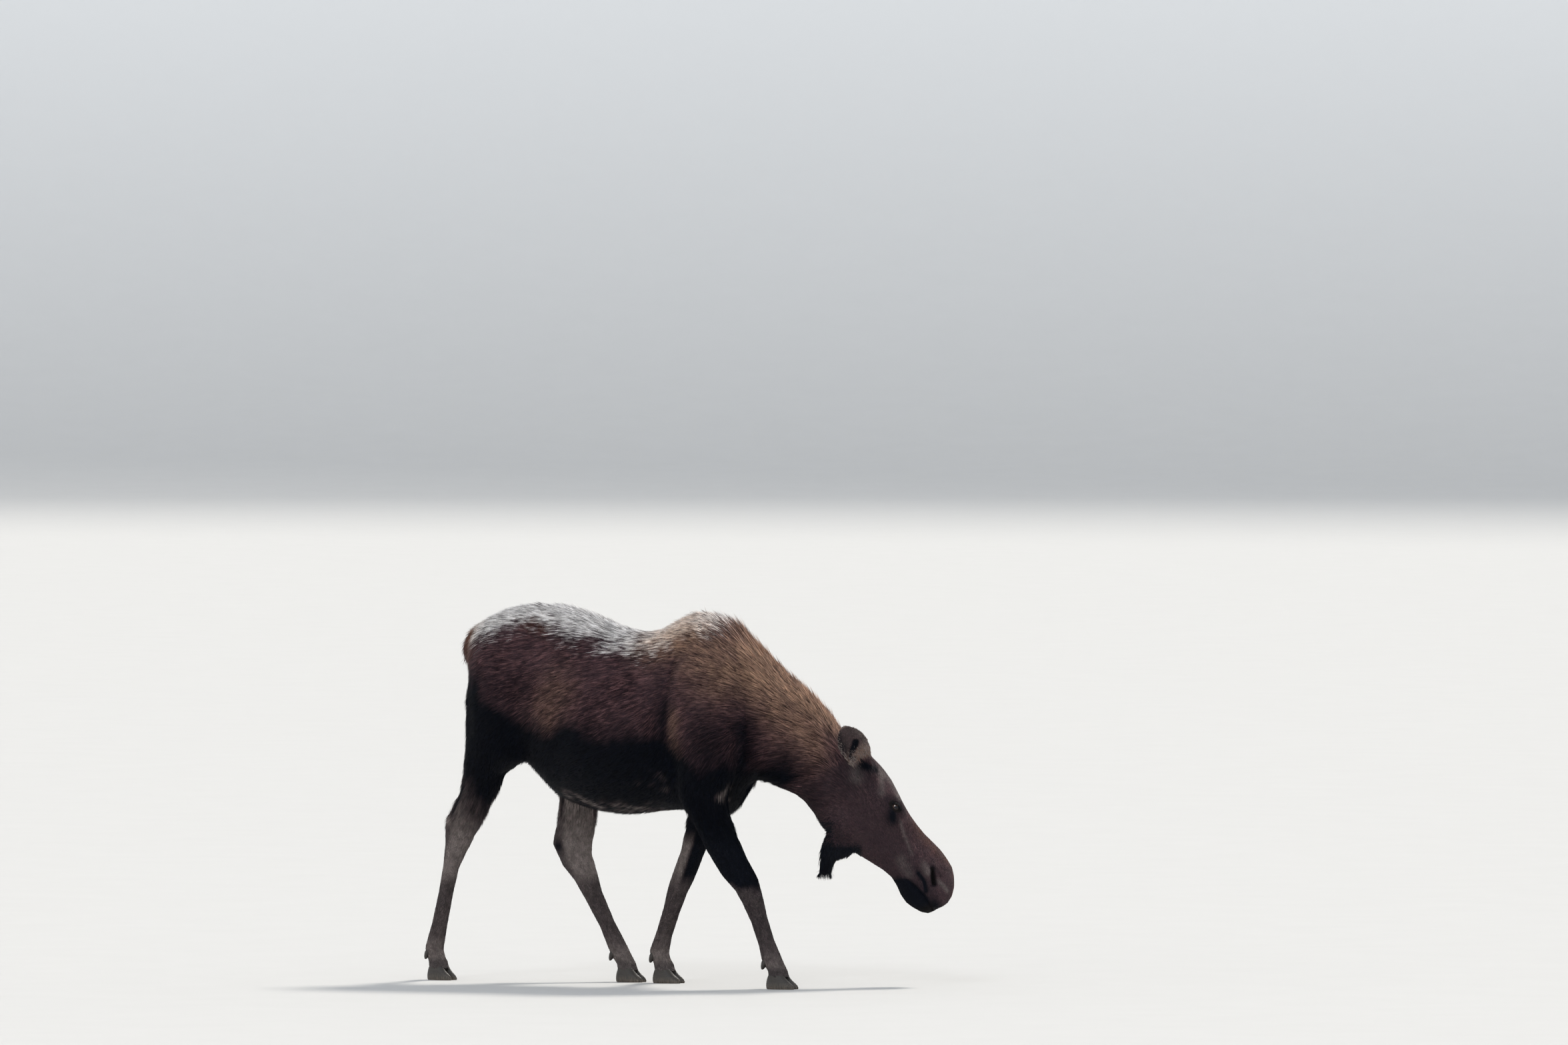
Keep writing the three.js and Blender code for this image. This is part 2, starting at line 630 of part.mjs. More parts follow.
// ---- scene graph ------------------------------------------------------------------
// The origin goes to the middle of the animal's box, on the floor.
const box = new THREE.Box3();
for (const { made } of pieces.values()) {
  const b = made.boundingBox();
  box.expandByPoint(V(...b.min));
  box.expandByPoint(V(...b.max));
}
const shift = V((box.min.x + box.max.x) / 2, (box.min.y + box.max.y) / 2, box.min.z);

const moose = new THREE.Group();
for (const [name, { made, colour }] of pieces) {
  const m = made.getMesh();
  const pos = new Float32Array(m.numVert * 3);
  for (let i = 0; i < m.numVert; i++)
    for (let c = 0; c < 3; c++)
      pos[3 * i + c] = m.vertProperties[i * m.numProp + c] - shift.getComponent(c);
  const g = new THREE.BufferGeometry();
  g.setAttribute("position", new THREE.BufferAttribute(pos, 3));
  g.setIndex(new THREE.BufferAttribute(new Uint32Array(m.triVerts), 1));
  g.computeVertexNormals();
  const mesh = new THREE.Mesh(g, matte(colour));
  mesh.name = name;
  moose.add(mesh);
}

export default moose;
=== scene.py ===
"""A cow moose, life size, wading stride with the head lowered: skin, coat, eyes and hooves."""

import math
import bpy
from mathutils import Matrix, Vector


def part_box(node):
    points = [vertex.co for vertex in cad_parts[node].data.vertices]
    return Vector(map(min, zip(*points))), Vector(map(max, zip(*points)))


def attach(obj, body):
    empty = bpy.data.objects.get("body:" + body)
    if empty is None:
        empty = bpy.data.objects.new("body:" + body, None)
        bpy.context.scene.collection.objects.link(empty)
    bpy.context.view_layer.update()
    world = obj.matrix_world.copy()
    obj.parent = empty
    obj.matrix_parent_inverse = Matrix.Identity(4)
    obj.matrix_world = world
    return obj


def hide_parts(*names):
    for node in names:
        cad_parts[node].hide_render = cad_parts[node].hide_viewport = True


bl_info = {
    "name": "Museum Cow Moose",
    "version": (1, 0, 0),
    "blender": (4, 5, 0),
    "location": "View3D > Sidebar > Moose",
    "description": "Builds the skin, coat, eyes and hooves of a life-size cow moose",
    "category": "Object",
}

import bmesh
import bpy
import numpy as np
import openvdb
from bpy.props import FloatProperty, FloatVectorProperty, IntProperty, PointerProperty
from mathutils import Vector

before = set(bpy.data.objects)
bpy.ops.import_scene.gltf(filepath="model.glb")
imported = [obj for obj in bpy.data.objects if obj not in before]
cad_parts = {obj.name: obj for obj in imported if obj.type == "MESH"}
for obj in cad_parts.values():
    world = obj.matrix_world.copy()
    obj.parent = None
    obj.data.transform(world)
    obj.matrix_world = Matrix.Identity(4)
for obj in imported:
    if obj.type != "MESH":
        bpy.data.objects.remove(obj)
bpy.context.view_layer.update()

# ---- layout ------------------------------------------------------------------
# Places on the animal are given in millimetres from a point on the floor under
# the body, +X forward, +Y to its left, +Z up. OFFSET is the frame's origin there.
MM = 0.001
UP = np.array([0.0, 0.0, 1.0])
OFFSET = np.array([332.95, 142.8, 0.0])

HOOF_NODES = [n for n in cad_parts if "claw" in n]
EYE_NODES = ["eye_right", "eye_left"]
FLESH_NODES = [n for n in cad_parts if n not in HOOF_NODES and n not in EYE_NODES]

# The head's own frame: t from the poll to the nose, y to the left, n out of
# the forehead.
HEAD_ORIGIN = np.array([1112.0, 270.0, 1000.0])
HEAD_T = np.array([0.3711, 0.2900, -0.8821])
HEAD_Y = np.array([-0.6157, 0.7880, 0.0])
HEAD_N = np.cross(HEAD_T, HEAD_Y)
EYE_AT = (278.0, 88.0, 1.0)
EYE_RADIUS = 20.0
EAR_ROOT = (61.0, 70.0, -28.0)
EAR_AXIS = {-1: (-0.865, -0.5, -0.075), 1: (-0.77, 0.6, -0.2)}
EAR_MOUTH = (0.506, 0.857, -0.097)  # where the left ear's opening faces
EAR_LENGTH = 235.0
EAR_WIDTH = 132.0
BELL_ROOT = (290.0, 0.0, -285.0)
BELL_TIP = 450.0  # height of the tips of the bell

# Where the neck turns to the left, along the back.
NECK_BEND = (560.0, 960.0)
HEAD_TURN = math.radians(38)

# Each leg's bone from the elbow or stifle to the hoof.
LEG_LINES = {
    "fore_right": [(598, -152, 800), (676, -138, 610), (786, -124, 435), (844, -118, 290),
                   (903, -115, 128), (938, -115, 58)],
    "fore_left": [(474, 150, 800), (402, 134, 635), (346, 120, 465), (284, 115, 305),
                  (228, 112, 132), (256, 112, 58)],
    "hind_right": [(-470, -128, 930), (-541, -122, 780), (-602, -119, 635), (-655, -117, 480),
                   (-712, -115, 240), (-738, -115, 132), (-716, -115, 58)],
    "hind_left": [(-190, 128, 920), (-174, 122, 755), (-196, 119, 582), (-142, 117, 448),
                  (-30, 115, 244), (30, 114, 134), (72, 114, 58)],
}


# ---- settings ------------------------------------------------------------------
class MooseSkinSettings(bpy.types.PropertyGroup):
    """Sizes of the skin"""

    voxel: FloatProperty(
        name="Grain", description="Size of the cells that the skin is cast in",
        default=0.0035, unit="LENGTH")
    triangles: IntProperty(
        name="Triangles", description="How many triangles the skin keeps", default=176000)
    body_depth: FloatProperty(
        name="Body coat", description="How deep the skin lies in the coat of the body",
        default=0.006, unit="LENGTH")
    face_depth: FloatProperty(
        name="Face coat", description="How deep the skin lies in the coat of the face and legs",
        default=0.0016, unit="LENGTH")
    crest_depth: FloatProperty(
        name="Crest coat", description="How deep the skin lies under the crest of the neck",
        default=0.014, unit="LENGTH")


class MooseCoatSettings(bpy.types.PropertyGroup):
    """Sizes of the coat"""

    body_length: FloatProperty(
        name="Body hair", description="Length of the hair of the body",
        default=0.038, unit="LENGTH")
    body_width: FloatProperty(
        name="Lock width", description="Width of one lock of the body",
        default=0.0036, unit="LENGTH")
    crest_length: FloatProperty(
        name="Crest hair", description="Length of the hair of the crest",
        default=0.085, unit="LENGTH")
    bell_length: FloatProperty(
        name="Bell hair", description="Length of the hair of the bell",
        default=0.075, unit="LENGTH")
    density: FloatProperty(
        name="Density", description="Locks for each square metre of the body", default=52000.0)
    lift: FloatProperty(
        name="Lift", description="How far a lock stands off the skin",
        default=math.radians(13), subtype="ANGLE")
    patch: FloatProperty(
        name="Patch", description="Size of one lock's patch on the baked map", default=0.003)
    seed: IntProperty(name="Seed", description="Seed of the coat's scatter", default=7)


class MooseColourSettings(bpy.types.PropertyGroup):
    """Colours of the coat, the horn and the eyes"""

    # Brown: the coat's own brown, with a blue-purple cast that is a painted tint of sky light
    # on the shaded side.
    brown: FloatVectorProperty(
        name="Brown", description="Flanks, shoulders and neck", subtype="COLOR",
        default=(0.084, 0.050, 0.062))
    # Near-black of belly, thighs and upper legs, also used for painted shade; its blue cast is
    # a painted tint of sky light.
    dark_and_shade: FloatVectorProperty(
        name="Dusk", description="Belly, thighs and upper legs", subtype="COLOR",
        default=(0.0020, 0.0036, 0.0088))
    # Pale grey of the lower legs and inner faces of the legs, also used for painted highlights
    # on the face, the hind legs and the ear rims.
    stocking: FloatVectorProperty(
        name="Stocking", description="Lower legs and inner faces of the legs", subtype="COLOR",
        default=(0.40, 0.345, 0.325))
    # Painted sheen: the light that the top of the coat catches, put in its colour.
    painted_sheen: FloatVectorProperty(
        name="Silver", description="Tips of the hair along the back", subtype="COLOR",
        default=(0.92, 0.90, 0.90))
    # Gold: golden hair tips, partly their own colour and partly painted sunlit sheen on crest,
    # hump and shoulder.
    gold: FloatVectorProperty(
        name="Gold", description="Sunned tips on the crest and behind the shoulder",
        subtype="COLOR", default=(0.52, 0.32, 0.215))
    russet: FloatVectorProperty(
        name="Russet", description="Bridge of the nose and the strands of the crest",
        subtype="COLOR", default=(0.20, 0.078, 0.034))
    horn: FloatVectorProperty(
        name="Horn", description="Hooves", subtype="COLOR", default=(0.017, 0.014, 0.012))
    iris: FloatVectorProperty(
        name="Iris", description="Iris of the eyes", subtype="COLOR",
        default=(0.007, 0.004, 0.003))


class MooseStageSettings(bpy.types.PropertyGroup):
    """Camera, floor and light"""

    azimuth: FloatProperty(
        name="Azimuth", description="Side that the camera stands on",
        default=math.radians(30), subtype="ANGLE")
    elevation: FloatProperty(
        name="Elevation", description="How far the camera looks down",
        default=math.radians(1.5), subtype="ANGLE")
    distance: FloatProperty(
        name="Distance", description="From the camera to the middle of the picture",
        default=90.0, unit="LENGTH")
    picture_width: FloatProperty(
        name="Picture width", description="Width of what the camera sees at the animal",
        default=6.5856, unit="LENGTH")
    aim_right: FloatProperty(
        name="Aim right", description="Middle of the picture, to the right of the origin",
        default=0.4155, unit="LENGTH")
    aim_height: FloatProperty(
        name="Aim height", description="Middle of the picture, above the floor",
        default=1.937, unit="LENGTH")


# ---- numbers on meshes -----------------------------------------------------------
def rows_of(items, key, width, kind=np.int32):
    """One value of every item of a mesh, as rows of numbers."""
    out = np.empty(len(items) * width, kind)
    items.foreach_get(key, out)
    return out.reshape(-1, width) if width > 1 else out


def points_of(mesh):
    """The places of the vertices."""
    return rows_of(mesh.vertices, "co", 3, np.float32).astype(float)


def edges_of(mesh):
    """The two vertex numbers of every edge."""
    return rows_of(mesh.edges, "vertices", 2)


def triangles_of(mesh):
    """The vertex numbers of every triangle."""
    mesh.calc_loop_triangles()
    return rows_of(mesh.loop_triangles, "vertices", 3)


def normals_of(points, triangles):
    """Unit normals at the vertices, weighted by area."""
    a, b, c = (points[triangles[:, i]] for i in range(3))
    face = np.cross(b - a, c - a)
    out = np.stack([
        sum(np.bincount(triangles[:, i], face[:, k], len(points)) for i in range(3))
        for k in range(3)
    ], axis=1)
    return unit(out)


def unit(rows):
    """Rows scaled to length one."""
    return rows / np.maximum(np.linalg.norm(rows, axis=-1, keepdims=True), 1e-12)


def neighbour_mean(values, edges, count):
    """Mean of the neighbours of each vertex."""
    degree = np.maximum(np.bincount(edges.ravel(), minlength=count), 1)
    cols = values.reshape(count, -1)
    out = np.stack([
        np.bincount(edges[:, 0], cols[edges[:, 1], k], count)
        + np.bincount(edges[:, 1], cols[edges[:, 0], k], count)
        for k in range(cols.shape[1])
    ], axis=1) / degree[:, None]
    return out.reshape(values.shape)


def relax(values, edges, strength, rounds):
    """Evens out values over a mesh. Strength is a number or one for each vertex."""
    weight = np.asarray(strength, float)
    if weight.ndim and values.ndim > 1:
        weight = weight[:, None]
    for _ in range(rounds):
        values = values + weight * (neighbour_mean(values, edges, len(values)) - values)
    return values


def even_out(points, edges, strength, rounds):
    """Takes the flats off a casting, and gives back the body that this costs."""
    smooth = relax(points, edges, strength, rounds)
    return smooth + relax(points - smooth, edges, 0.7, 2 * rounds)


def ramp(value, start, end):
    """Smooth step from 0 at start to 1 at end, either way round."""
    x = np.clip((value - start) / (end - start), 0.0, 1.0)
    return x * x * (3 - 2 * x)


def bump_at(distance, reach):
    """1 at distance 0, fading out over the reach."""
    return np.exp(-((distance / reach) ** 2))


def blend(value, other, share):
    """The value, turned into the other one by a share. Works on rows of numbers too."""
    if np.ndim(value) > np.ndim(share):
        share = share[:, None]
    return value * (1 - share) + other * share


def line_distance(points, line):
    """Distance of each point to a line of points, and how far along it that lies."""
    line = np.asarray(line, float)
    best = np.full(len(points), 1e9)
    along = np.zeros(len(points))
    run = 0.0
    for a, b in zip(line[:-1], line[1:]):
        step = b - a
        size = np.linalg.norm(step)
        share = np.clip((points - a) @ step / size**2, 0, 1)
        d = np.linalg.norm(points - (a + share[:, None] * step), axis=1)
        nearer = d < best
        best[nearer] = d[nearer]
        along[nearer] = (run + share * size)[nearer]
        run += size
    return best, along


def new_object(name, mesh):
    """Puts a mesh in the scene under a name."""
    mesh.name = name
    made = bpy.data.objects.new(name, mesh)
    bpy.context.scene.collection.objects.link(made)
    return made


def mesh_from(name, points, faces):
    """A mesh from rows of points and rows of vertex numbers, all of one size."""
    mesh = bpy.data.meshes.new(name)
    faces = np.asarray(faces, np.int32)
    mesh.vertices.add(len(points))
    mesh.vertices.foreach_set("co", np.asarray(points, np.float32).ravel())
    mesh.loops.add(faces.size)
    mesh.loops.foreach_set("vertex_index", faces.ravel())
    mesh.polygons.add(len(faces))
    mesh.polygons.foreach_set(
        "loop_start", np.arange(0, faces.size, faces.shape[1], dtype=np.int32))
    mesh.update(calc_edges=True)
    return mesh


def store(mesh, name, values):
    """Keeps a number or a direction at each vertex under a name."""
    kind, key = ("FLOAT_VECTOR", "vector") if np.ndim(values) > 1 else ("FLOAT", "value")
    field = mesh.attributes.get(name) or mesh.attributes.new(name, kind, "POINT")
    field.data.foreach_set(key, np.asarray(values, np.float32).ravel())


def read(mesh, name):
    """Reads what store() kept."""
    field = mesh.attributes[name]
    key, width = ("vector", 3) if field.data_type == "FLOAT_VECTOR" else ("value", 1)
    return rows_of(field.data, key, width, np.float32).astype(float)


def replace_by_evaluated(made):
    """Bakes an object's modifiers into its mesh."""
    graph = bpy.context.evaluated_depsgraph_get()
    mesh = bpy.data.meshes.new_from_object(made.evaluated_get(graph))
    made.modifiers.clear()
    old, made.data = made.data, mesh
    bpy.data.meshes.remove(old)
    mesh.name = made.name


def ring_faces(rings, sides, first=0):
    """Faces between rings of vertices that follow each other from a first number."""
    faces = []
    for start in range(first, first + (rings - 1) * sides, sides):
        faces += [(start + j, start + (j + 1) % sides, start + sides + (j + 1) % sides,
                   start + sides + j) for j in range(sides)]
    return faces


def fan_faces(start, sides, middle):
    """Faces from a ring of vertices to the one in its middle."""
    return [(start + j, start + (j + 1) % sides, middle) for j in range(sides)]


def smooth_mesh(name, points, faces, material):
    """A closed, smooth mesh with its faces turned outwards."""
    mesh = bpy.data.meshes.new(name)
    mesh.from_pydata(points, [], faces)
    bm = bmesh.new()
    bm.from_mesh(mesh)
    bmesh.ops.recalc_face_normals(bm, faces=bm.faces[:])
    bm.to_mesh(mesh)
    bm.free()
    mesh.shade_smooth()
    mesh.materials.append(material)
    return mesh


# ---- the animal's own coordinates -------------------------------------------------
def in_layout(points):
    """Frame metres to layout millimetres."""
    return points / MM + OFFSET


def to_frame(points):
    """Layout millimetres to frame metres."""
    return (np.asarray(points, float) - OFFSET) * MM


def in_head(layout):
    """Layout millimetres to the head's t, y and n."""
    r = layout - HEAD_ORIGIN
    return np.stack([r @ HEAD_T, r @ HEAD_Y, r @ HEAD_N], axis=1)


def head_point(t, y, n):
    """A place in the head's frame, in layout millimetres."""
    return HEAD_ORIGIN + t * HEAD_T + y * HEAD_Y + n * HEAD_N


def head_direction(t, y, n):
    """A direction in the head's frame, in the layout's."""
    return np.asarray(t * HEAD_T + y * HEAD_Y + n * HEAD_N)


def back_line():
    """Places along the back as seen from above, every 5 mm, with the way it heads."""
    step = 5.0
    s = np.arange(-700.0, 1400.0, step)
    turn = HEAD_TURN * ramp(s, *NECK_BEND)
    x = np.cumsum(np.cos(turn)) * step
    y = np.cumsum(np.sin(turn)) * step
    x += s[0] - x[0]
    return s, x, y - y[0], turn


def along_back(layout):
    """How far along the back each point lies, how far to its left, and the heading there."""
    s, x, y, turn = back_line()
    place = layout[:, 0].copy()
    for _ in range(12):
        gx = np.interp(place, s, x)
        gy = np.interp(place, s, y)
        a = np.interp(place, s, turn)
        place += (layout[:, 0] - gx) * np.cos(a) + (layout[:, 1] - gy) * np.sin(a)
        place = np.clip(place, s[0], s[-1])
    gx, gy, a = (np.interp(place, s, v) for v in (x, y, turn))
    left = -(layout[:, 0] - gx) * np.sin(a) + (layout[:, 1] - gy) * np.cos(a)
    return place, left, a


# Half width of an ear's leaf along its length, in shares of the ear's width and length.
EAR_LEAF = ([-0.14, 0, 0.14, 0.3, 0.48, 0.66, 0.82, 0.94, 1.0],
            [0.2, 0.27, 0.36, 0.46, 0.5, 0.47, 0.36, 0.2, 0.1])


def ear_frame(hand):
    """Root, axis, mouth direction and width direction of an ear, in layout terms."""
    axis = unit(np.array(EAR_AXIS[hand]))
    mouth = np.array([1, hand, 1]) * EAR_MOUTH
    mouth = unit(mouth - (mouth @ axis) * axis)
    across = np.cross(axis, mouth)
    root = head_point(EAR_ROOT[0], hand * EAR_ROOT[1], EAR_ROOT[2])
    return root, head_direction(*axis), head_direction(*mouth), head_direction(*across)


class Places:
    """Where each vertex of a mesh lies on the animal."""

    def __init__(self, points, normals):
        self.layout = in_layout(points)
        self.normal = normals
        self.s, self.left, self.heading = along_back(self.layout)
        self.z = self.layout[:, 2]
        self.side = np.sign(self.left)
        self.t, self.y, self.n = in_head(self.layout).T
        self.legs = {k: line_distance(self.layout, v) for k, v in LEG_LINES.items()}
        self.head = (
            ramp(self.t, -30, 60) * ramp(self.n, -380, -330) * ramp(np.abs(self.y), 210, 160))
        self.ears = {h: self.ear(h) for h in (-1, 1)}
        self.ear_mask = np.maximum(self.ears[-1]["mask"], self.ears[1]["mask"])
        from_root = self.layout - head_point(*BELL_ROOT)
        down, aside = from_root[:, 2], from_root @ HEAD_Y
        self.before_bell = from_root @ [math.cos(HEAD_TURN), math.sin(HEAD_TURN), 0]
        self.bell = (
            ramp(down, 10, -45) * ramp(down, -260, -200) * ramp(np.abs(aside), 70, 45)
            * ramp(np.abs(self.before_bell - 8), 120, 92))

    def ear(self, hand):
        """Where each vertex lies on one ear, in shares of its length and width."""
        root, axis, mouth, across = ear_frame(hand)
        r = self.layout - root
        along = r @ axis / EAR_LENGTH
        wide = r @ across / EAR_WIDTH
        deep = r @ mouth / EAR_WIDTH
        half = np.interp(along, *EAR_LEAF)
        # the back of the cup, which leaves out the hair of the neck behind the ear
        back = 0.14 - 0.36 * np.sqrt(np.clip(1 - (wide / half) ** 2, 0, 1))
        near = ramp(np.abs(wide) - half, 0.07, 0.0) * ramp(deep - back, -0.15, -0.08)
        mask = ramp(along, 0.02, 0.14) * near * ramp(deep, 0.34, 0.24) * (along < 1.2)
        return {"along": along, "wide": wide, "front": -hand * wide, "mask": mask,
                "rim": np.abs(wide) / half, "facing": self.normal @ mouth}

    def leg_mask(self, name, top=820.0, blend=160.0):
        """1 on a leg below its top."""
        distance, _ = self.legs[name]
        return ramp(self.z, top, top - blend) * ramp(distance, 190, 140)

    def legs_mask(self, top=820.0, blend=160.0):
        """1 on every leg below its top."""
        return np.max([self.leg_mask(n, top, blend) for n in LEG_LINES], axis=0)

    def ahead_of_bone(self, name):
        """How far in front of a leg's line each vertex lies."""
        line = np.asarray(LEG_LINES[name], float)
        line = line[np.argsort(line[:, 2])]
        return self.layout[:, 0] - np.interp(self.z, line[:, 2], line[:, 0])

    def at_nostril(self, reach):
        """1 in the slit of a nostril."""
        slit = bump_at(side_line(self.t, self.n, NOSTRIL), reach)
        return self.head * slit * ramp(np.abs(self.y), 40, 60)


# ---- skin -----------------------------------------------------------------------
HOOF_LAP = 0.009  # how far the skin goes down into the hooves


def cast_flesh(grain):
    """One closed surface round all the flesh and the eyes, so that no slit is left."""
    points, triangles, count = [], [], 0
    for name in FLESH_NODES + EYE_NODES:
        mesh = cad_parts[name].data
        co, index = np.unique(points_of(mesh).round(6), axis=0, return_inverse=True)
        points.append(co)
        triangles.append(index.reshape(-1)[triangles_of(mesh)] + count)
        count += len(co)
    grid = openvdb.FloatGrid.createLevelSetFromPolygons(
        np.concatenate(points).astype(np.float32),
        triangles=np.concatenate(triangles).astype(np.uint32),
        transform=openvdb.createLinearTransform(voxelSize=grain), halfWidth=3.0)
    points, quads = grid.convertToQuads(0.0)
    return np.asarray(points, float), np.asarray(quads, np.int32)[:, ::-1]


def biggest_shell(points, quads):
    """Leaves out every loose shell but the biggest."""
    label = np.arange(len(points))
    while True:
        low = label[quads].min(axis=1)
        new = label.copy()
        for k in range(4):
            np.minimum.at(new, quads[:, k], low)
        new = new[new]
        if (new == label).all():
            break
        label = new
    names, sizes = np.unique(label, return_counts=True)
    keep = label == names[sizes.argmax()]
    number = np.cumsum(keep) - 1
    return points[keep], number[quads[keep[quads[:, 0]]]]


def thin_out(made, keep_whole, target):
    """Takes the skin down to a number of triangles, leaving the marked vertices alone."""
    group = made.vertex_groups.new(name="free")
    free = np.flatnonzero(~keep_whole)
    group.add(free.tolist(), 1.0, "REPLACE")
    thin = made.modifiers.new("thin", "DECIMATE")
    thin.vertex_group = group.name
    thin.ratio = min(1.0, target / (2 * len(made.data.polygons)))
    replace_by_evaluated(made)
    made.vertex_groups.clear()


def refine(mesh, chosen, rounds):
    """Splits the triangles round the chosen places."""
    bm = bmesh.new()
    bm.from_mesh(mesh)
    bmesh.ops.triangulate(bm, faces=bm.faces[:])
    for _ in range(rounds):
        bm.verts.ensure_lookup_table()
        co = np.array([v.co for v in bm.verts])
        inside = chosen(co)
        edges = [e for e in bm.edges if inside[e.verts[0].index] and inside[e.verts[1].index]]
        bmesh.ops.subdivide_edges(bm, edges=edges, cuts=1, use_grid_fill=True, smooth=0.4)
        bmesh.ops.triangulate(bm, faces=bm.faces[:])
        bm.verts.index_update()
    bm.to_mesh(mesh)
    bm.free()


def fine_features(points):
    """Vertices that keep the full grain: eyes, nostrils, lips and ears."""
    layout = in_layout(points)
    t, y, n = in_head(layout).T
    y = np.abs(y)
    eye = np.linalg.norm(np.stack([t, y, n], axis=1) - EYE_AT, axis=1) < 42
    nostril = (np.abs(t - 613) < 50) & (np.abs(n - 4) < 34) & (y < 130) & (y > 40)
    lips = (t > 545) & (t < 760) & (np.abs(n + 79) < 24) & (y < 130)
    out = eye | nostril | lips
    for hand in (-1, 1):
        root, axis, mouth, across = ear_frame(hand)
        r = layout - root
        along = r @ axis / EAR_LENGTH
        wide = np.hypot(r @ across, r @ mouth) / EAR_WIDTH
        out |= (along > 0.1) & (along < 1.15) & (wide < 0.8)
    return out


# Muscles and folds: a line of places along the back and up (mm), how far the
# skin rises (+) or sinks (-) there, the reach of it, and which sides have it.
BODY_FOLDS = [
    ([(452, 1380), (436, 1260), (434, 1140), (450, 1020), (490, 900)], -13, 26, (-1, 1)),
    ([(510, 1310), (498, 1150), (516, 1010)], 9, 36, (-1, 1)),
    ([(700, 1420), (742, 1290), (756, 1160), (750, 1040), (742, 960)], -11, 24, (-1, 1)),
    ([(660, 1330), (690, 1160), (690, 1020)], 7, 40, (-1, 1)),
    ([(790, 900), (742, 820), (700, 770)], -6, 18, (-1, 1)),
    ([(560, 1500), (600, 1380), (640, 1250)], -4, 26, (-1, 1)),
    ([(-196, 1270), (-205, 1110), (-240, 985)], -7, 30, (-1,)),
    ([(-196, 1330), (-140, 1180), (-90, 1060)], -6, 34, (1,)),
    ([(-330, 1480), (-420, 1440), (-520, 1380)], -4, 30, (-1, 1)),
    ([(-560, 1330), (-520, 1200), (-500, 1060)], -4, 26, (-1, 1)),
    ([(-430, 1330), (-440, 1180), (-450, 1060)], 5, 50, (-1, 1)),
    ([(870, 1290), (930, 1120), (990, 980)], -4, 30, (-1, 1)),
    ([(940, 1200), (1010, 1060)], 4, 34, (-1, 1)),
    ([(1040, 900), (1075, 800), (1060, 740)], -5, 18, (-1, 1)),
]
RIB_PITCH = 62.0

# Forms of the face: line of places (t, n), rise, reach.
FACE_FORMS = [
    ([(342, -8), (378, -16), (437, -23), (490, -28)], 2.8, 6),  # vein below the eye
    ([(308, -4), (328, -12), (342, -22)], -4.5, 7),  # tear pit
    ([(240, 34), (272, 34), (306, 24)], 3.4, 8),  # upper lid's brow
    ([(290, -34), (360, -42), (440, -52)], 3.0, 14),  # cheekbone
    ([(320, -72), (420, -84), (510, -86)], -3.0, 16),  # below the cheekbone
    ([(140, -204), (220, -184), (290, -154)], -3.0, 16),  # edge of the jaw muscle
    ([(110, -34), (160, -24), (205, -2)], -3.5, 18),  # temple
    ([(562, -6), (586, -8)], 6.5, 19),  # wing of the nostril
    ([(570, -42), (612, -37), (653, -50)], -4.5, 7),  # fold behind the lip
    ([(648, -42), (684, -26), (712, -2)], 3.0, 16),  # upper lip
    ([(640, 14), (668, 23), (695, 29)], 3.0, 11),  # rim in front of the nostril
    ([(556, 30), (590, 44), (640, 46)], 2.5, 12),  # roll above the nostril
    ([(550, -32), (575, -44), (602, -56)], -2.5, 8),
    ([(490, -12), (530, -26), (565, -36)], -2.0, 8),
]
NOSTRIL = [(584, 18), (614, 5), (642, -6)]
MOUTH = [(558, -96), (610, -78), (670, -68), (738, -60)]


def side_line(s, z, line):
    """Distance from a line that is drawn on the side of the animal."""
    flat = np.stack([s, z], axis=1)
    return line_distance(flat, np.asarray(line, float))[0]


def strokes(s, z, drawn):
    """Sum of soft strokes on the side: each has its line, its strength and its reach."""
    return sum(share * bump_at(side_line(s, z, line), reach) for line, share, reach in drawn)


def sculpt_body(at):
    """How far the skin of the body rises, in millimetres."""
    rise = np.zeros(len(at.s))
    trunk = (1 - at.head) * (1 - at.ear_mask) * ramp(at.z, 640, 760)
    level = np.abs(at.normal[:, 0] * -np.sin(at.heading) + at.normal[:, 1] * np.cos(at.heading))
    for line, height, reach, sides in BODY_FOLDS:
        fold = bump_at(side_line(at.s, at.z, line), reach) * ramp(level, 0.15, 0.6)
        rise += height * fold * trunk * np.isin(at.side, sides)
    # faint ribs under the coat
    ribs = np.cos(2 * np.pi * (at.s - 0.22 * at.z) / RIB_PITCH)
    cage = bump_at((at.s - 170) / 210, 1) * bump_at((at.z - 1060) / 190, 1)
    rise += 1.2 * ribs * cage * trunk
    # folds of loose skin in front of the stifle and behind the elbow
    loose = np.cos(2 * np.pi * (at.z + 0.5 * at.s) / 46)
    rise += 1.4 * loose * bump_at(side_line(at.s, at.z, [(470, 880), (500, 800)]), 60) * trunk
    # wrinkles along the throat
    throat = np.cos(2 * np.pi * (at.s + 0.3 * at.z) / 38)
    rise += 1.5 * throat * bump_at(side_line(at.s, at.z, [(930, 830), (1010, 760)]), 70) * trunk
    # tendons stand clear of the cannon bones
    for name in LEG_LINES:
        cannon = ramp(at.z, 120, 170) * ramp(at.z, 430, 370) * at.leg_mask(name)
        ahead = at.ahead_of_bone(name)
        rise -= 2.6 * cannon * bump_at(ahead + 9, 7) * ramp(level, 0.5, 0.9)
        if "hind" in name:
            hollow = hamstring_hollow(at, ahead) * at.leg_mask(name, 980)
            rise -= 7 * hollow * ramp(level, 0.2, 0.6)
    return rise


def hamstring_hollow(at, ahead):
    """The hollow between the gaskin and the tendon of the hock."""
    line = np.interp(at.z, [690, 780, 870], [-60, -48, -44])
    return bump_at(ahead - line, 14) * ramp(at.z, 660, 730) * ramp(at.z, 890, 820)


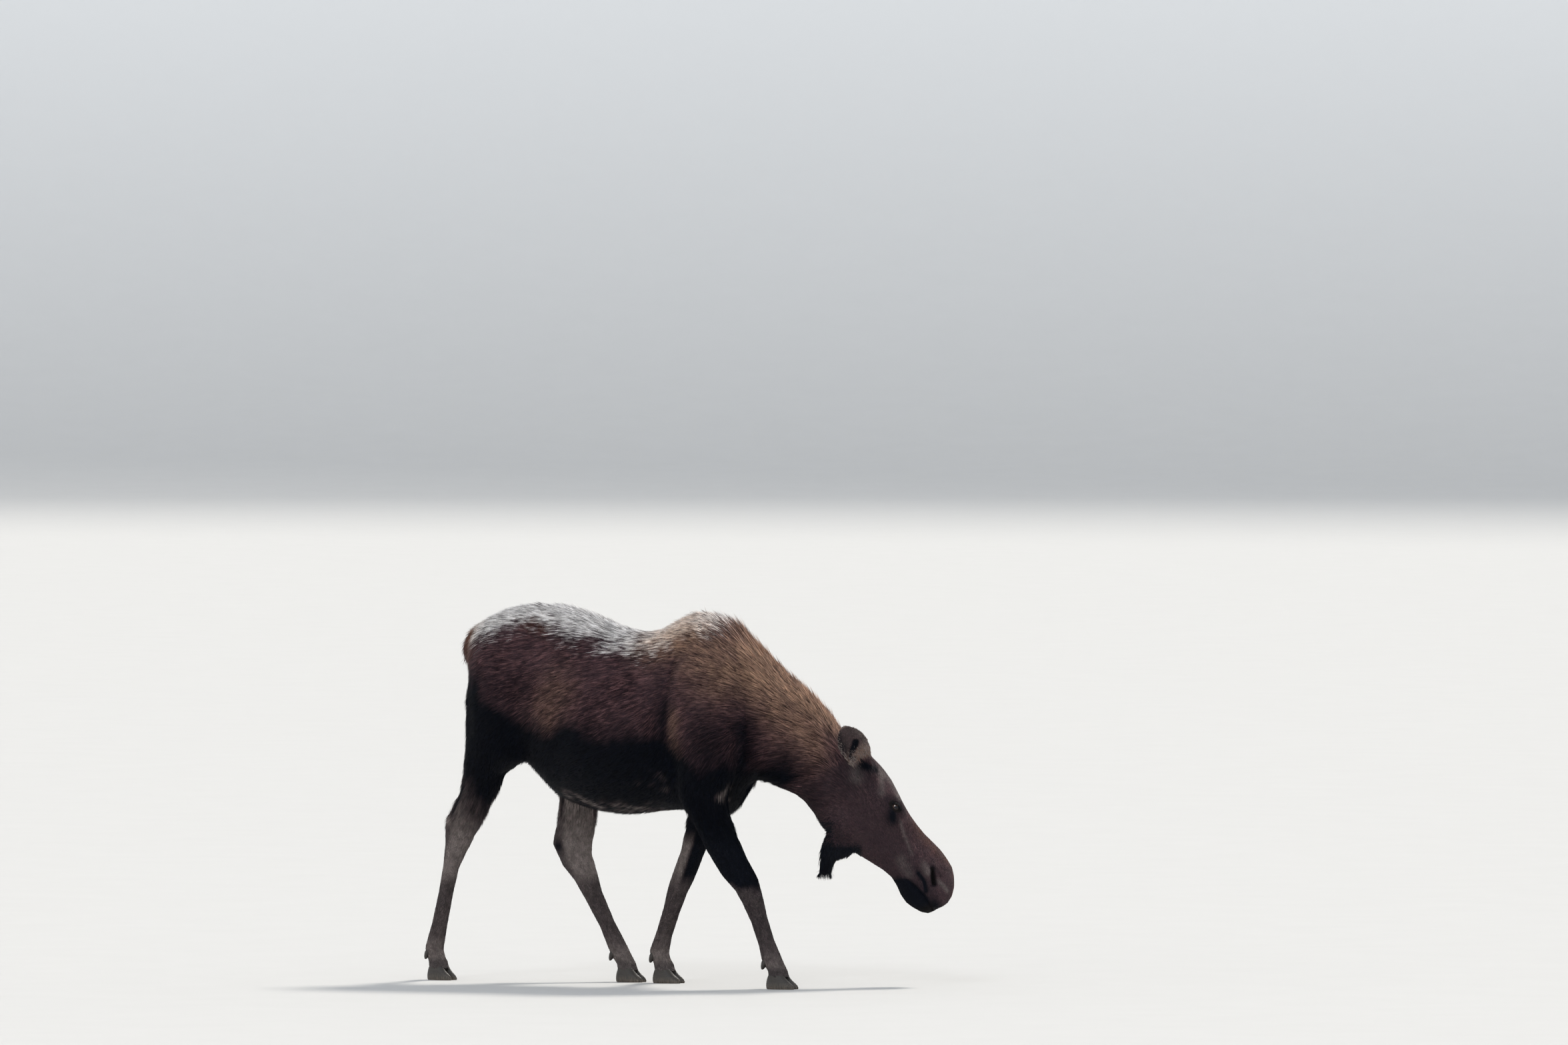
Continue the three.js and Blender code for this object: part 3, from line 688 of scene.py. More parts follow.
def sculpt_face(at):
    """How far the skin of the head rises, in millimetres."""
    rise = np.zeros(len(at.s))
    cheek = at.head * ramp(np.abs(at.normal @ HEAD_Y), 0.2, 0.6) * (1 - at.ear_mask)
    for line, height, reach in FACE_FORMS:
        rise += height * bump_at(side_line(at.t, at.n, line), reach) * cheek
    wing = at.head * ramp(np.abs(at.y), 50, 66)
    rise -= 9 * bump_at(side_line(at.t, at.n, NOSTRIL), 6.5) * wing
    rise += 3.0 * bump_at(side_line(at.t, at.n, NOSTRIL) - 15, 6) * wing
    rise -= 6 * bump_at(side_line(at.t, at.n, MOUTH), 4.5) * at.head * ramp(at.t, 545, 585)
    # creases beside the nose
    crease = np.cos(2 * np.pi * (at.t + 0.8 * at.n) / 15)
    rise += 0.6 * crease * bump_at(side_line(at.t, at.n, [(550, 18), (580, 48)]), 26) * cheek
    return rise


EYE_LONG = unit(np.array([0.90, 0.43]))  # from the outer to the inner corner, in t and n
EYE_HALF = (20.0, 12.5)  # half length and half height of the opening
EYE_SET = 5.0  # how much deeper the ball sits than its solid
LID_RISE = 2.8
EYE_SINK = 6.0


def eye_centre(hand):
    """Middle of an eyeball, in layout millimetres."""
    return head_point(EYE_AT[0], hand * (EYE_AT[1] - EYE_SET), EYE_AT[2])


def eye_opening(layout, hand):
    """How far out of the opening of the lids a place is: under 1 is inside it. Also the
    distance from the ball, how high over its long axis, and how far outwards."""
    r = layout - eye_centre(hand)
    t, y, n = r @ HEAD_T, r @ HEAD_Y * hand, r @ HEAD_N
    long = t * EYE_LONG[0] + n * EYE_LONG[1]
    high = -t * EYE_LONG[1] + n * EYE_LONG[0]
    half_high = np.where(high > 0, EYE_HALF[1] * 1.05, EYE_HALF[1] * 0.9)
    m = (np.abs(long) / EYE_HALF[0]) ** 1.8 + (np.abs(high) / half_high) ** 1.9
    return m, r, high, y, np.hypot(long, high)


def open_eyes(points, at):
    """Pushes the skin in where the eye shows, and lays the lids on the ball."""
    for hand in (-1, 1):
        m, r, high, y, wide = eye_opening(at.layout, hand)
        near = (y > -5) & (np.linalg.norm(r, axis=1) < 60)
        radius = np.linalg.norm(r, axis=1)
        lid = EYE_RADIUS + LID_RISE - 1.1 * ramp(m, 1.7, 1.0)
        lid = lid + np.where(high > 0, 1.6, 0.9) * bump_at(m - 1.5, 0.5)
        hidden = EYE_RADIUS - EYE_SINK
        goal = hidden + (lid - hidden) * ramp(m, 0.78, 1.02)
        free = ramp(wide, 17, 33)
        new = goal + free * (radius - goal)
        crease = np.where(high > 0, -2.4, -1.6) * bump_at(m - 3.2, 0.8)
        crease = crease + np.where(high > 0, 2.2, 0.8) * bump_at(m - 5.6, 1.4)
        new = new + crease * ramp(m, 11, 7)
        moved = np.where(near, new / np.maximum(radius, 1e-6), 1.0)
        points = points + (r * (moved - 1)[:, None]) * MM
    return points


# How the hair lies on the side of the body: place along the back and up, way
# it points along the back and up, reach.
HAIR_LIE = [
    (-590, 1400, -0.5, -1.0, 90), (-520, 1530, -0.9, -0.6, 90), (-400, 1570, -1.0, -0.35, 110),
    (-235, 1590, -1.0, -0.15, 110), (0, 1545, -1.0, -0.25, 130), (240, 1480, -1.0, -0.3, 130),
    (480, 1560, -1.0, -0.2, 110), (640, 1530, -0.9, 0.5, 90), (760, 1440, -0.8, 0.8, 90),
    (880, 1310, -0.75, 0.85, 90), (1060, 1130, -0.75, 0.8, 100), (900, 1150, -1.0, 0.35, 100),
    (930, 980, -1.0, 0.05, 90), (1000, 800, -1.0, -0.15, 90), (800, 1200, -1.0, 0.2, 100),
    (780, 1000, -1.0, -0.3, 100), (640, 1330, -1.0, 0.15, 100), (600, 1150, -1.0, -0.3, 100),
    (600, 980, -0.6, -1.0, 90), (470, 1080, -0.45, -1.0, 80), (300, 1300, -1.0, -0.45, 120),
    (100, 1200, -1.0, -0.6, 130), (150, 950, -1.0, -0.6, 130), (120, 760, -1.0, -0.25, 110),
    (-150, 1350, -1.0, -0.45, 120), (-330, 1330, -1.0, -0.22, 110),
    (-400, 1150, -0.8, -0.6, 110), (-420, 980, -0.35, -1.0, 100),
    (-560, 1150, -0.4, -1.0, 90), (700, 850, -0.5, -1.0, 90), (-220, 1000, -0.7, -0.9, 90),
]
# Height of the crest, along the back.
CREST = ([500, 640, 748, 850, 960, 1060, 1160], [1573, 1541, 1455, 1353, 1256, 1154, 1022])
WHORL = (1046, 905)  # swirl of hair on the side of the throat, along the back and up


def lie_of_hair(at, edges):
    """The way the hair points at each vertex, along the skin."""
    rows = np.array(HAIR_LIE, float)
    total = np.zeros((len(at.s), 2))
    weight = np.full(len(at.s), 1e-9)
    for s, z, ds, dz, reach in rows:
        w = np.exp(-(((at.s - s) ** 2 + (at.z - z) ** 2) / reach**2)) + 1e-7 / (
            1 + ((at.s - s) ** 2 + (at.z - z) ** 2) / 1e4) ** 2
        size = math.hypot(ds, dz)
        total += w[:, None] * np.array([ds, dz]) / size
        weight += w
    flat = total / weight[:, None]
    away_s, away_z = at.s - WHORL[0], at.z - WHORL[1]
    swirl = unit(np.stack([away_s - 0.9 * away_z, away_z + 0.9 * away_s], axis=1))
    flat = blend(flat, swirl, bump_at(np.hypot(away_s, away_z), 62))
    lie = np.stack([
        flat[:, 0] * np.cos(at.heading), flat[:, 0] * np.sin(at.heading), flat[:, 1]], axis=1)
    lie = unit(lie)
    for name, line in LEG_LINES.items():
        line = np.asarray(line, float)
        _, along = at.legs[name]
        steps = np.linalg.norm(np.diff(line, axis=0), axis=1)
        middle = np.cumsum(steps) - steps / 2
        ways = np.diff(line, axis=0) / steps[:, None]
        way = np.stack([np.interp(along, middle, ways[:, k]) for k in range(3)], axis=1)
        lie = blend(lie, unit(way), at.leg_mask(name, 960, 260))
    back = -HEAD_T + 0.12 * HEAD_N
    on_cheek = ramp(at.n, -60, -200)[:, None]
    head_lie = unit(back * (1 - 0.5 * on_cheek) - 0.7 * HEAD_N * on_cheek)
    lie = blend(lie, head_lie, at.head)
    for hand, ear in at.ears.items():
        _, axis, _, across = ear_frame(hand)
        outward = 0.35 * np.sign(ear["wide"])[:, None] * across
        lie = blend(lie, unit(axis + outward), ear["mask"])
    lie = blend(lie, np.array([0, 0, -1.0]), at.bell)
    for _ in range(3):
        lie = relax(lie, edges, 0.6, 6)
        lie -= np.sum(lie * at.normal, axis=1, keepdims=True) * at.normal
        lie = unit(lie)
    return lie


def speckle(layout, size, seed):
    """Soft blotches between -1 and 1."""
    rng = np.random.default_rng(seed)
    out = np.zeros(len(layout))
    for _ in range(7):
        way = unit(rng.normal(size=3))
        pitch = size * rng.uniform(0.7, 1.5)
        out += np.sin(layout @ way * 2 * np.pi / pitch + rng.uniform(0, 6))
    return out / 3.2


# Height of the back and depth of its band of painted sheen, along the back.
BACK_TOP = ([-600, -480, -235, 40, 240, 410, 500, 600, 700],
            [1440, 1550, 1594, 1532, 1482, 1543, 1573, 1560, 1500])
SHEEN_DEPTH = ([-600, -500, -400, -300, -200, -60, 120, 240, 340, 420, 520, 640],
                [50, 100, 150, 110, 95, 125, 120, 105, 135, 150, 125, 105])
# Height at which the brown of the flanks turns dark, along the back.
FLANK_EDGE = ([-560, -420, -330, -250, -150, 100, 420, 520, 640, 760, 900, 1040],
              [1330, 1200, 1150, 1110, 1085, 1072, 1062, 1030, 970, 970, 965, 880])
# Height at which each leg starts to turn pale, and at which it is pale.
PALE_FROM = {
    "fore_right": (456, 400), "fore_left": (660, 480),
    "hind_right": (950, 620), "hind_left": (920, 740),
}
HOCK_SPOT = (np.array([-248.0, 92.0, 572.0]), 26)  # dark spot and its reach
HOCK_SHEEN = (np.array([-645.0, -150.0, 688.0]), 46)  # painted sheen on the hock and its reach

# Strokes on the body: line along the back and up, strength, reach.
# Painted shade behind and before the shoulder and on the upper arm.
SHADED = [
    ([(444, 1190), (434, 1100), (450, 1010)], 0.75, 46),  # behind the shoulder
    ([(455, 1370), (440, 1250)], 0.30, 46),
    ([(748, 1090), (752, 1010), (728, 930)], 0.85, 56),  # before the shoulder
    ([(738, 1250), (746, 1150)], 0.28, 52),
    ([(650, 1060), (650, 940)], 0.70, 100),  # the upper arm
]
WORN = [
    ([(-60, 800), (60, 762), (180, 750), (360, 762)], 1.0, 30),  # edge of the belly
    ([(330, 850), (400, 900), (430, 860)], 0.8, 26),  # behind the elbow
    ([(676, 900), (690, 850), (660, 800)], 0.8, 13),  # armpit
]
# Golden tips: partly the hair's own colour, partly painted sunlit sheen.
GOLDEN = [
    ([(500, 1150), (496, 1080), (530, 960)], 0.5, 30),  # edge of the shoulder
    ([(-70, 1240), (-110, 1140)], 0.35, 90),  # flank
    ([(330, 1450), (440, 1480)], 0.8, 80),  # behind the hump
    ([(520, 1480), (600, 1400), (690, 1330)], 0.8, 120),  # side of the hump
    ([(-570, 1500), (-600, 1420)], 0.5, 55),  # rump
]
RUSSET = [
    ([(-560, 1510), (-605, 1420), (-600, 1340)], 0.55, 45),  # edge of the rump
    ([(-250, 1520), (-180, 1500)], 0.4, 40),
]
# Strokes on the head: line in t and n, strength, reach.
# Darker parts of the face, and painted shade in its folds and below the ear.
DARK_FACE_AND_SHADE = [
    ([(284, -10), (316, -30)], 0.55, 28),  # below the eye
    ([(570, -42), (612, -37), (653, -50)], 0.5, 8),  # painted shade in the fold behind the lip
    ([(556, 16), (580, 30), (620, 34)], 0.25, 8),  # painted shade above the nostril, under its roll
    ([(74, -38), (112, 4)], 0.7, 17),  # painted shadow below the ear
]
# Lighter hair of the face, with painted highlights on its raised forms.
LIGHT_FACE_AND_HIGHLIGHTS = [
    ([(560, -5), (586, -8)], 0.42, 17),  # painted highlight on the wing of the nostril
    ([(342, -8), (378, -16), (437, -23), (490, -28)], 0.36, 6),  # painted highlight on the vein below the eye
    ([(74, -66), (104, -86)], 0.5, 23),  # behind the ear
    ([(244, 30), (262, 30)], 0.4, 10),  # painted highlight on the brow
    ([(120, 26), (158, 3), (200, -24)], 0.42, 13),  # temple
    ([(146, 37), (190, 43), (240, 43)], 0.38, 15),  # forehead
    ([(640, 14), (668, 23), (695, 29)], 0.5, 9),  # painted highlight on the rim before the nostril
    ([(489, -75), (557, -79)], 0.3, 22),  # above the chin
]
LIP = ([560, 617, 680], [-96, -72, -62])  # edge of the dark chin, in t and n
# Strokes in an ear: along and across it in widths of the ear, reach.
# The pit and the fold of the ear carry painted shade.
EAR_PIT = ([(0.88, 0.12), (0.74, 0.03), (0.62, -0.12)], 0.11)
EAR_FOLD = ([(0.66, -0.05), (0.52, -0.28), (0.36, -0.2)], 0.1)


def mark_coat(at):
    """The markings with their painted sheen, highlights and shade, one number from 0 to 1 for
    each at every vertex.
    """
    body = (1 - at.head) * (1 - at.ear_mask)
    blotch = speckle(at.layout, 170, 3)
    fine = speckle(at.layout, 60, 5)
    pale = pale_legs(at, fine)
    dark_and_shade = dark_body_and_shade(at, blotch, fine) * body * (1 - pale)
    dark_and_shade = np.maximum(dark_and_shade, 0.55 * ramp(at.z, 120, 75))
    flecks = ramp(speckle(at.layout * [1, 1, 0.6], 30, 9), -0.1, 0.3)
    worn = np.clip(strokes(at.s, at.z, WORN) * flecks, 0, 1)
    pale = np.maximum(pale, worn * body)
    dark_and_shade = dark_and_shade * (1 - 0.8 * worn)
    # painted sheen along the top of the back, and the pale legs
    marks = {"painted_sheen": painted_back_sheen(at, blotch, fine) * body, "pale": pale}
    marks["dark_and_shade"] = np.maximum(dark_and_shade * (1 - 0.6 * at.head), np.clip(dark_face_and_shade(at, fine), 0, 1))
    marks["gold"], marks["russet"] = gold_sheen_and_russet(at, body, fine)
    for ear in at.ears.values():
        mark_ear(ear, marks)
    marks["dark_and_shade"] = np.maximum(marks["dark_and_shade"], at.bell)
    nose = at.head * ramp(at.t, 690, 735) * ramp(at.n, -30, -60) * 0.9
    marks["bare"] = nose + at.at_nostril(9)
    for hand in (-1, 1):
        m, _, _, out, wide = eye_opening(at.layout, hand)
        near = wide < 60
        lid = ramp(m, 3.4, 2.0) * (out > -5) * near
        marks["bare"] = np.maximum(marks["bare"], lid)
        marks["dark_and_shade"] = np.maximum(marks["dark_and_shade"], 0.55 * ramp(m, 14, 4) * (out > -20) * near)
    # lighter hair of the face and painted highlights on its raised forms
    light_face_and_highlights = at.head * (strokes(at.t, at.n, LIGHT_FACE_AND_HIGHLIGHTS) + 0.06)
    marks["stocking"] = np.maximum(marks.pop("pale"), light_face_and_highlights)
    return marks


def painted_back_sheen(at, blotch, fine):
    """Painted sheen on the hair along the top of the back, where it faces up."""
    below = np.interp(at.s, *BACK_TOP) - at.z + 16 * fine + 12 * blotch
    depth = np.interp(at.s, *SHEEN_DEPTH)
    painted_sheen = ramp(below, depth * 1.55, depth * 0.1) * ramp(at.normal[:, 2], -0.3, 0.3)
    painted_sheen *= ramp(at.s, 760, 580) * ramp(at.s, -610, -520)
    return painted_sheen * (1.0 - 0.18 * ramp(blotch, 0.2, 0.8))


def dark_body_and_shade(at, blotch, fine):
    """The dark belly and thighs, a dark rear of the rump that is partly painted shade, and
    painted shade in the hollows round the shoulder and on the upper arm.
    """
    low = np.interp(at.s, *FLANK_EDGE)
    dark = [
        ramp(at.z + 22 * blotch + 10 * fine, low + 105, low - 90),
        # the dark rear of the rump: partly the coat's own black, partly painted shade
        ramp(at.s, -375, -470) * ramp(at.z + 20 * fine, 1420, 1200),
        0.42 * ramp(at.s, -170, -215) * ramp(at.z, 1400, 1250),
    ]
    dark += [strokes(at.s, at.z, [stroke]) for stroke in SHADED]
    return np.max(dark, axis=0)


def pale_legs(at, fine):
    """The stockings: pale below and on the inner faces, with their dark strips, painted
    highlight and shade on the hind legs, and a painted sheen on the hock.
    """
    inward = -at.normal[:, 1] * np.sign(at.layout[:, 1])
    pale = np.zeros(len(at.s))
    for name, (start, end) in PALE_FROM.items():
        hind = "hind" in name
        leg = at.leg_mask(name, 980 if hind else 700, 120)
        ahead = at.ahead_of_bone(name)
        shank = ramp(at.z + 8 * fine + (1.1 * ahead if hind else 0), start, end)
        inner = ramp(inward, -0.15, 0.5) * ramp(at.z, 860, 760)
        share = leg * np.maximum(shank**0.75 * (0.82 if hind else 0.72), inner * 0.8)
        strip = 0.8 * ramp(ahead, 4, 26)
        if hind:
            # painted highlight along the back of the gaskin, and painted shade in the hollow
            # behind it
            glint = bump_at(ahead + 24, 11) * ramp(at.z, 700, 760) * ramp(at.z, 900, 830)
            share = np.maximum(share, 0.42 * glint * leg)
            strip = np.maximum(0.3 * ramp(ahead, -22, -44), 0.75 * hamstring_hollow(at, ahead))
        pale = np.maximum(pale, share * (1 - strip * ramp(at.z, 395, 470)))
    pale *= 1 - 0.38 * ramp(at.z, 470, 390) * ramp(at.z, 90, 240)
    spot, patch = (bump_at(np.linalg.norm(at.layout - middle, axis=1), reach)
                   for middle, reach in (HOCK_SPOT, HOCK_SHEEN))
    return np.maximum(pale * (1 - 0.85 * spot), 0.9 * patch)


def gold_sheen_and_russet(at, body, fine):
    """Golden tips on hump, crest and flank, partly the hair's own colour and partly painted
    sunlit sheen, and russet strands.
    """
    below = np.interp(at.s, *CREST) - at.z + 14 * fine
    crest = (
        0.85 * ramp(below, 330, 120) * ramp(at.s, 660, 800) * ramp(at.s, 1120, 940)
        + 0.2 * ramp(below, 480, 260) * ramp(at.s, 760, 860) * ramp(at.s, 1140, 1000)
        + 0.95 * bump_at(below - 42, 44) * ramp(at.s, 740, 880) * ramp(at.s, 1180, 1090))
    gold = (strokes(at.s, at.z, GOLDEN) + crest) * body * (0.8 + 0.2 * fine)
    bridge = at.head * ramp(at.n, 0, 50) * ramp(at.t, 240, 420) * ramp(np.abs(at.y), 62, 24)
    edge = bump_at(below + 10, 34) * ramp(at.s, 640, 740)
    return gold, (edge + strokes(at.s, at.z, RUSSET)) * body + 0.34 * bridge


def dark_face_and_shade(at, fine):
    """The dark parts of the head: cheek, chin and throat, with painted shade in the nostril
    slits and the hollows.
    """
    chin = ramp(at.t, 535, 590) * ramp(at.n - np.interp(at.t, *LIP) + 9 * fine, 10, -24)
    chin *= 1 - 0.5 * ramp(at.t, 610, 710)
    cheek = ramp(at.n, 5, -45) * (1 - 0.7 * ramp(at.n, -140, -220))
    return 0.8 * at.at_nostril(10) + at.head * (
        strokes(at.t, at.n, DARK_FACE_AND_SHADE) + 0.9 * chin + 0.28 * cheek
        + 0.2 * ramp(at.n, -150, -260) + 0.4 * ramp(at.t, 660, 745) * ramp(at.n, 10, -50)
        + 0.16 + 0.1 * ramp(at.t, 480, 640))


def mark_ear(ear, marks):
    """Colours an ear over the markings of the head: painted shade in its pit and fold, its pale
    rim with a painted rim light, and its root.
    """
    mask, along, front = ear["mask"], ear["along"], ear["front"]
    inside = mask * ramp(ear["facing"], -0.1, 0.3)
    # the pale rim: pale hair with a painted rim light on it
    edge = np.maximum(ramp(ear["rim"], 0.86, 0.97), ramp(along, 0.93, 0.99))
    run = along * EAR_LENGTH / EAR_WIDTH
    pit, fold = (bump_at(side_line(run, front, line), reach)
                 for line, reach in (EAR_PIT, EAR_FOLD))
    pit = np.maximum(pit, 0.55 * fold)
    root = ramp(along, 0.5, 0.22)
    shade = 0.35 * (1 - root) + 0.35 * ramp(front, -0.05, -0.35)
    hollow = inside * (0.3 + 0.2 * ramp(front, 0.0, 0.3))
    for name, amounts in (
        ("dark_and_shade", (inside * np.clip(1.4 * pit, 0, 1), mask * shade * (1 - edge))),
        ("pale", (mask * (1 - pit) * np.maximum(hollow, 0.95 * edge),)),
        ("gold", (mask * (1 - pit) * np.maximum(0.95 * root, 0.6 * edge),)),
    ):
        marks[name] = np.max([marks[name] * (1 - mask), *amounts], axis=0)


def hair_sizes(at, coat):
    """Length, width and number of the locks at each vertex."""
    legs = at.legs_mask(760, 200)
    belly = ramp(at.z, 860, 730) * (1 - at.head) * (1 - legs)
    face = at.head * ramp(at.t, 30, 190)
    nose = at.head * ramp(at.t, 560, 700)
    neck = ramp(at.s, 640, 820) * (1 - at.head)
    length = coat.body_length * (1 + 0.45 * neck + 0.25 * belly)
    width = coat.body_width
    for place, place_length, place_width in (
        (legs, 0.0115, 0.0024), (face, 0.0095, 0.0019), (nose, 0.006, 0.0019),
        (at.ear_mask, 0.0085, 0.0022),
    ):
        length = blend(length, place_length, place)
        width = blend(width, place_width, place)
    number = 1 + 0.7 * np.max([legs, face, at.ear_mask], axis=0) + 1.0 * nose
    top_line = np.interp(at.s, [-600, -235, 240, 500], [1440, 1594, 1482, 1573])
    on_back = ramp(top_line - at.z, 160, 40) * (1 - at.head) * ramp(at.s, 700, 500)
    length *= (1 + 0.25 * on_back) * (1 - 0.45 * ramp(at.z, 95, 60))
    eye = np.min([
        np.linalg.norm(at.layout - eye_centre(h), axis=1) for h in (-1, 1)], axis=0)
    length *= 0.35 + 0.65 * ramp(eye, 24, 46)
    openings = []
    for hand in (-1, 1):
        m, _, _, out, _ = eye_opening(at.layout, hand)
        openings.append(np.where(out > -20, m, 99))
    number *= (1 - at.at_nostril(10)) * ramp(np.min(openings, axis=0), 1.7, 2.5)
    return length, width, number


class MOOSE_OT_skin(bpy.types.Operator):
    """Cast one skin round the flesh, with the folds, lids, nostrils and markings"""

    bl_idname = "moose.skin"
    bl_label = "Skin"

    def execute(self, context):
        skin_sizes = context.scene.moose_skin
        points, quads = biggest_shell(*cast_flesh(skin_sizes.voxel))
        made = new_object("skin", mesh_from("skin", points, quads))
        thin_out(made, fine_features(points), skin_sizes.triangles)
        mesh = made.data
        refine(mesh, near_eyes, 1)

        points, edges, triangles = points_of(mesh), edges_of(mesh), triangles_of(mesh)

        def places():
            return Places(points, normals_of(points, triangles))

        at = places()
        # the casting's flats and facets are evened out, least where the form is small
        slack = 0.62 * (1 - np.maximum(at.head, at.legs_mask(700, 160))) + 0.12
        slack *= (1 - 0.75 * at.ear_mask) * (1 - 0.5 * at.bell)
        slack *= 0.3 + 0.7 * ramp(at.z, 70, 160)
        points = even_out(points, edges, slack, 24)
        points = relax(points, edges, 0.3 * (1 - at.ear_mask), 2)

        at = places()
        rise = (sculpt_body(at) + sculpt_face(at)) * MM
        depth = relax(coat_depth(at, skin_sizes), edges, 0.6, 12)
        points = points + at.normal * (rise - depth)[:, None]
        points[:, 2] -= HOOF_LAP * ramp(in_layout(points)[:, 2], 82, 60)
        points = open_eyes(points, places())
        mesh.vertices.foreach_set("co", points.astype(np.float32).ravel())
        mesh.update()

        at = places()
        store(mesh, "lie", lie_of_hair(at, edges))
        for name, amount in mark_coat(at).items():
            store(mesh, name, np.clip(amount, 0, 1))
        sizes = hair_sizes(at, context.scene.moose_coat)
        for name, amount in zip(("hair_length", "hair_width", "hair_number"), sizes):
            store(mesh, name, amount)
        mesh.shade_smooth()
        mesh.materials.append(skin_material(context.scene.moose_colours))
        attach(made, "root")
        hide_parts(*FLESH_NODES)
        return {"FINISHED"}


def near_eyes(points):
    """Places round the eyes that take a finer mesh."""
    layout = in_layout(points)
    return np.min([
        np.linalg.norm(layout - head_point(EYE_AT[0], h * EYE_AT[1], EYE_AT[2]), axis=1)
        for h in (-1, 1)], axis=0) < 36


def coat_depth(at, sizes):
    """How deep the skin lies inside the outline of the coat."""
    depth = np.full(len(at.s), sizes.body_depth)
    crest_top = np.interp(at.s, *CREST)
    crest = ramp(crest_top - at.z, 90, 10) * ramp(at.s, 420, 640) * ramp(at.s, 1190, 1120)
    depth += (sizes.crest_depth - sizes.body_depth) * crest * (1 - at.head)
    small = np.maximum(at.head * ramp(at.t, 0, 120), at.legs_mask(740, 200))
    depth = blend(depth, sizes.face_depth, small)
    depth = blend(depth, 0.0012, at.ear_mask)
    return depth * (1 - 0.3 * at.bell)


# ---- shading ---------------------------------------------------------------------
class Tree:
    """Places nodes in a tree and joins them."""

    def __init__(self, tree):
        self.tree = tree
        self.count = 0

    def add(self, kind, inputs=(), **settings):
        """Adds a node. Inputs are (socket, value or socket of another node)."""
        node = self.tree.nodes.new(kind)
        node.location = (self.count % 12 * 220, -(self.count // 12) * 320)
        self.count += 1
        for key, value in settings.items():
            setattr(node, key, value)
        self.feed(node, inputs)
        return node

    def feed(self, node, inputs):
        """Sets or joins a node's inputs, each given by its name or its number."""
        for name, value in inputs:
            if isinstance(name, int):
                socket = node.inputs[name]
            else:
                socket = next(s for s in node.inputs if s.name == name and s.enabled)
            if isinstance(value, bpy.types.NodeSocket):
                self.tree.links.new(value, socket)
            elif value is not None:
                socket.default_value = value

    def math(self, operation, *values, clamp=False):
        """A sum, product or the like."""
        return self.add("ShaderNodeMath", enumerate(values), operation=operation,
                        use_clamp=clamp).outputs[0]

    def times(self, *values, clamp=False):
        """The product of two or more values."""
        product = values[0]
        for value in values[1:]:
            product = self.math("MULTIPLY", product, value, clamp=clamp)
        return product

    def vector(self, operation, a, b=None, scale=None):
        """A sum, product or the like of directions."""
        node = self.add("ShaderNodeVectorMath", [(0, a), (1, b)], operation=operation)
        if scale is not None:
            self.feed(node, [("Scale", scale)])
        return node.outputs["Value" if operation == "DOT_PRODUCT" else "Vector"]

    def mix(self, share, a, b):
        """A colour between two others."""
        a, b = (v if isinstance(v, bpy.types.NodeSocket) else (*v, 1.0)[:4] for v in (a, b))
        return self.add("ShaderNodeMix", [(0, share), (6, a), (7, b)],
                        data_type="RGBA").outputs[2]

    def noise(self, where, scale, detail=3.0, roughness=0.5, distortion=0.0, output="Fac"):
        """Clouds of noise."""
        return self.add("ShaderNodeTexNoise", [
            ("Vector", where), ("Scale", scale), ("Detail", detail),
            ("Roughness", roughness), ("Distortion", distortion)]).outputs[output]

    def field(self, name, output="Fac"):
        """What the mesh stores under a name, for a material."""
        return self.add("ShaderNodeAttribute", attribute_name=name).outputs[output]

    def parts(self, vector):
        """The X, Y and Z of a place or a direction."""
        return self.add("ShaderNodeSeparateXYZ", [(0, vector)]).outputs

    def place(self):
        """The place on the object, for a material."""
        return self.add("ShaderNodeTexCoord").outputs["Object"]

    def limits(self, value, low, high, to_low=0.0, to_high=1.0):
        """A value taken from one span to another, and held there."""
        return self.add("ShaderNodeMapRange", [
            ("Value", value), ("From Min", low), ("From Max", high),
            ("To Min", to_low), ("To Max", to_high)]).outputs["Result"]


def tinted(colour, *factors):
    """A colour, made lighter or darker channel by channel."""
    return tuple(c * f for c, f in zip(colour, factors))


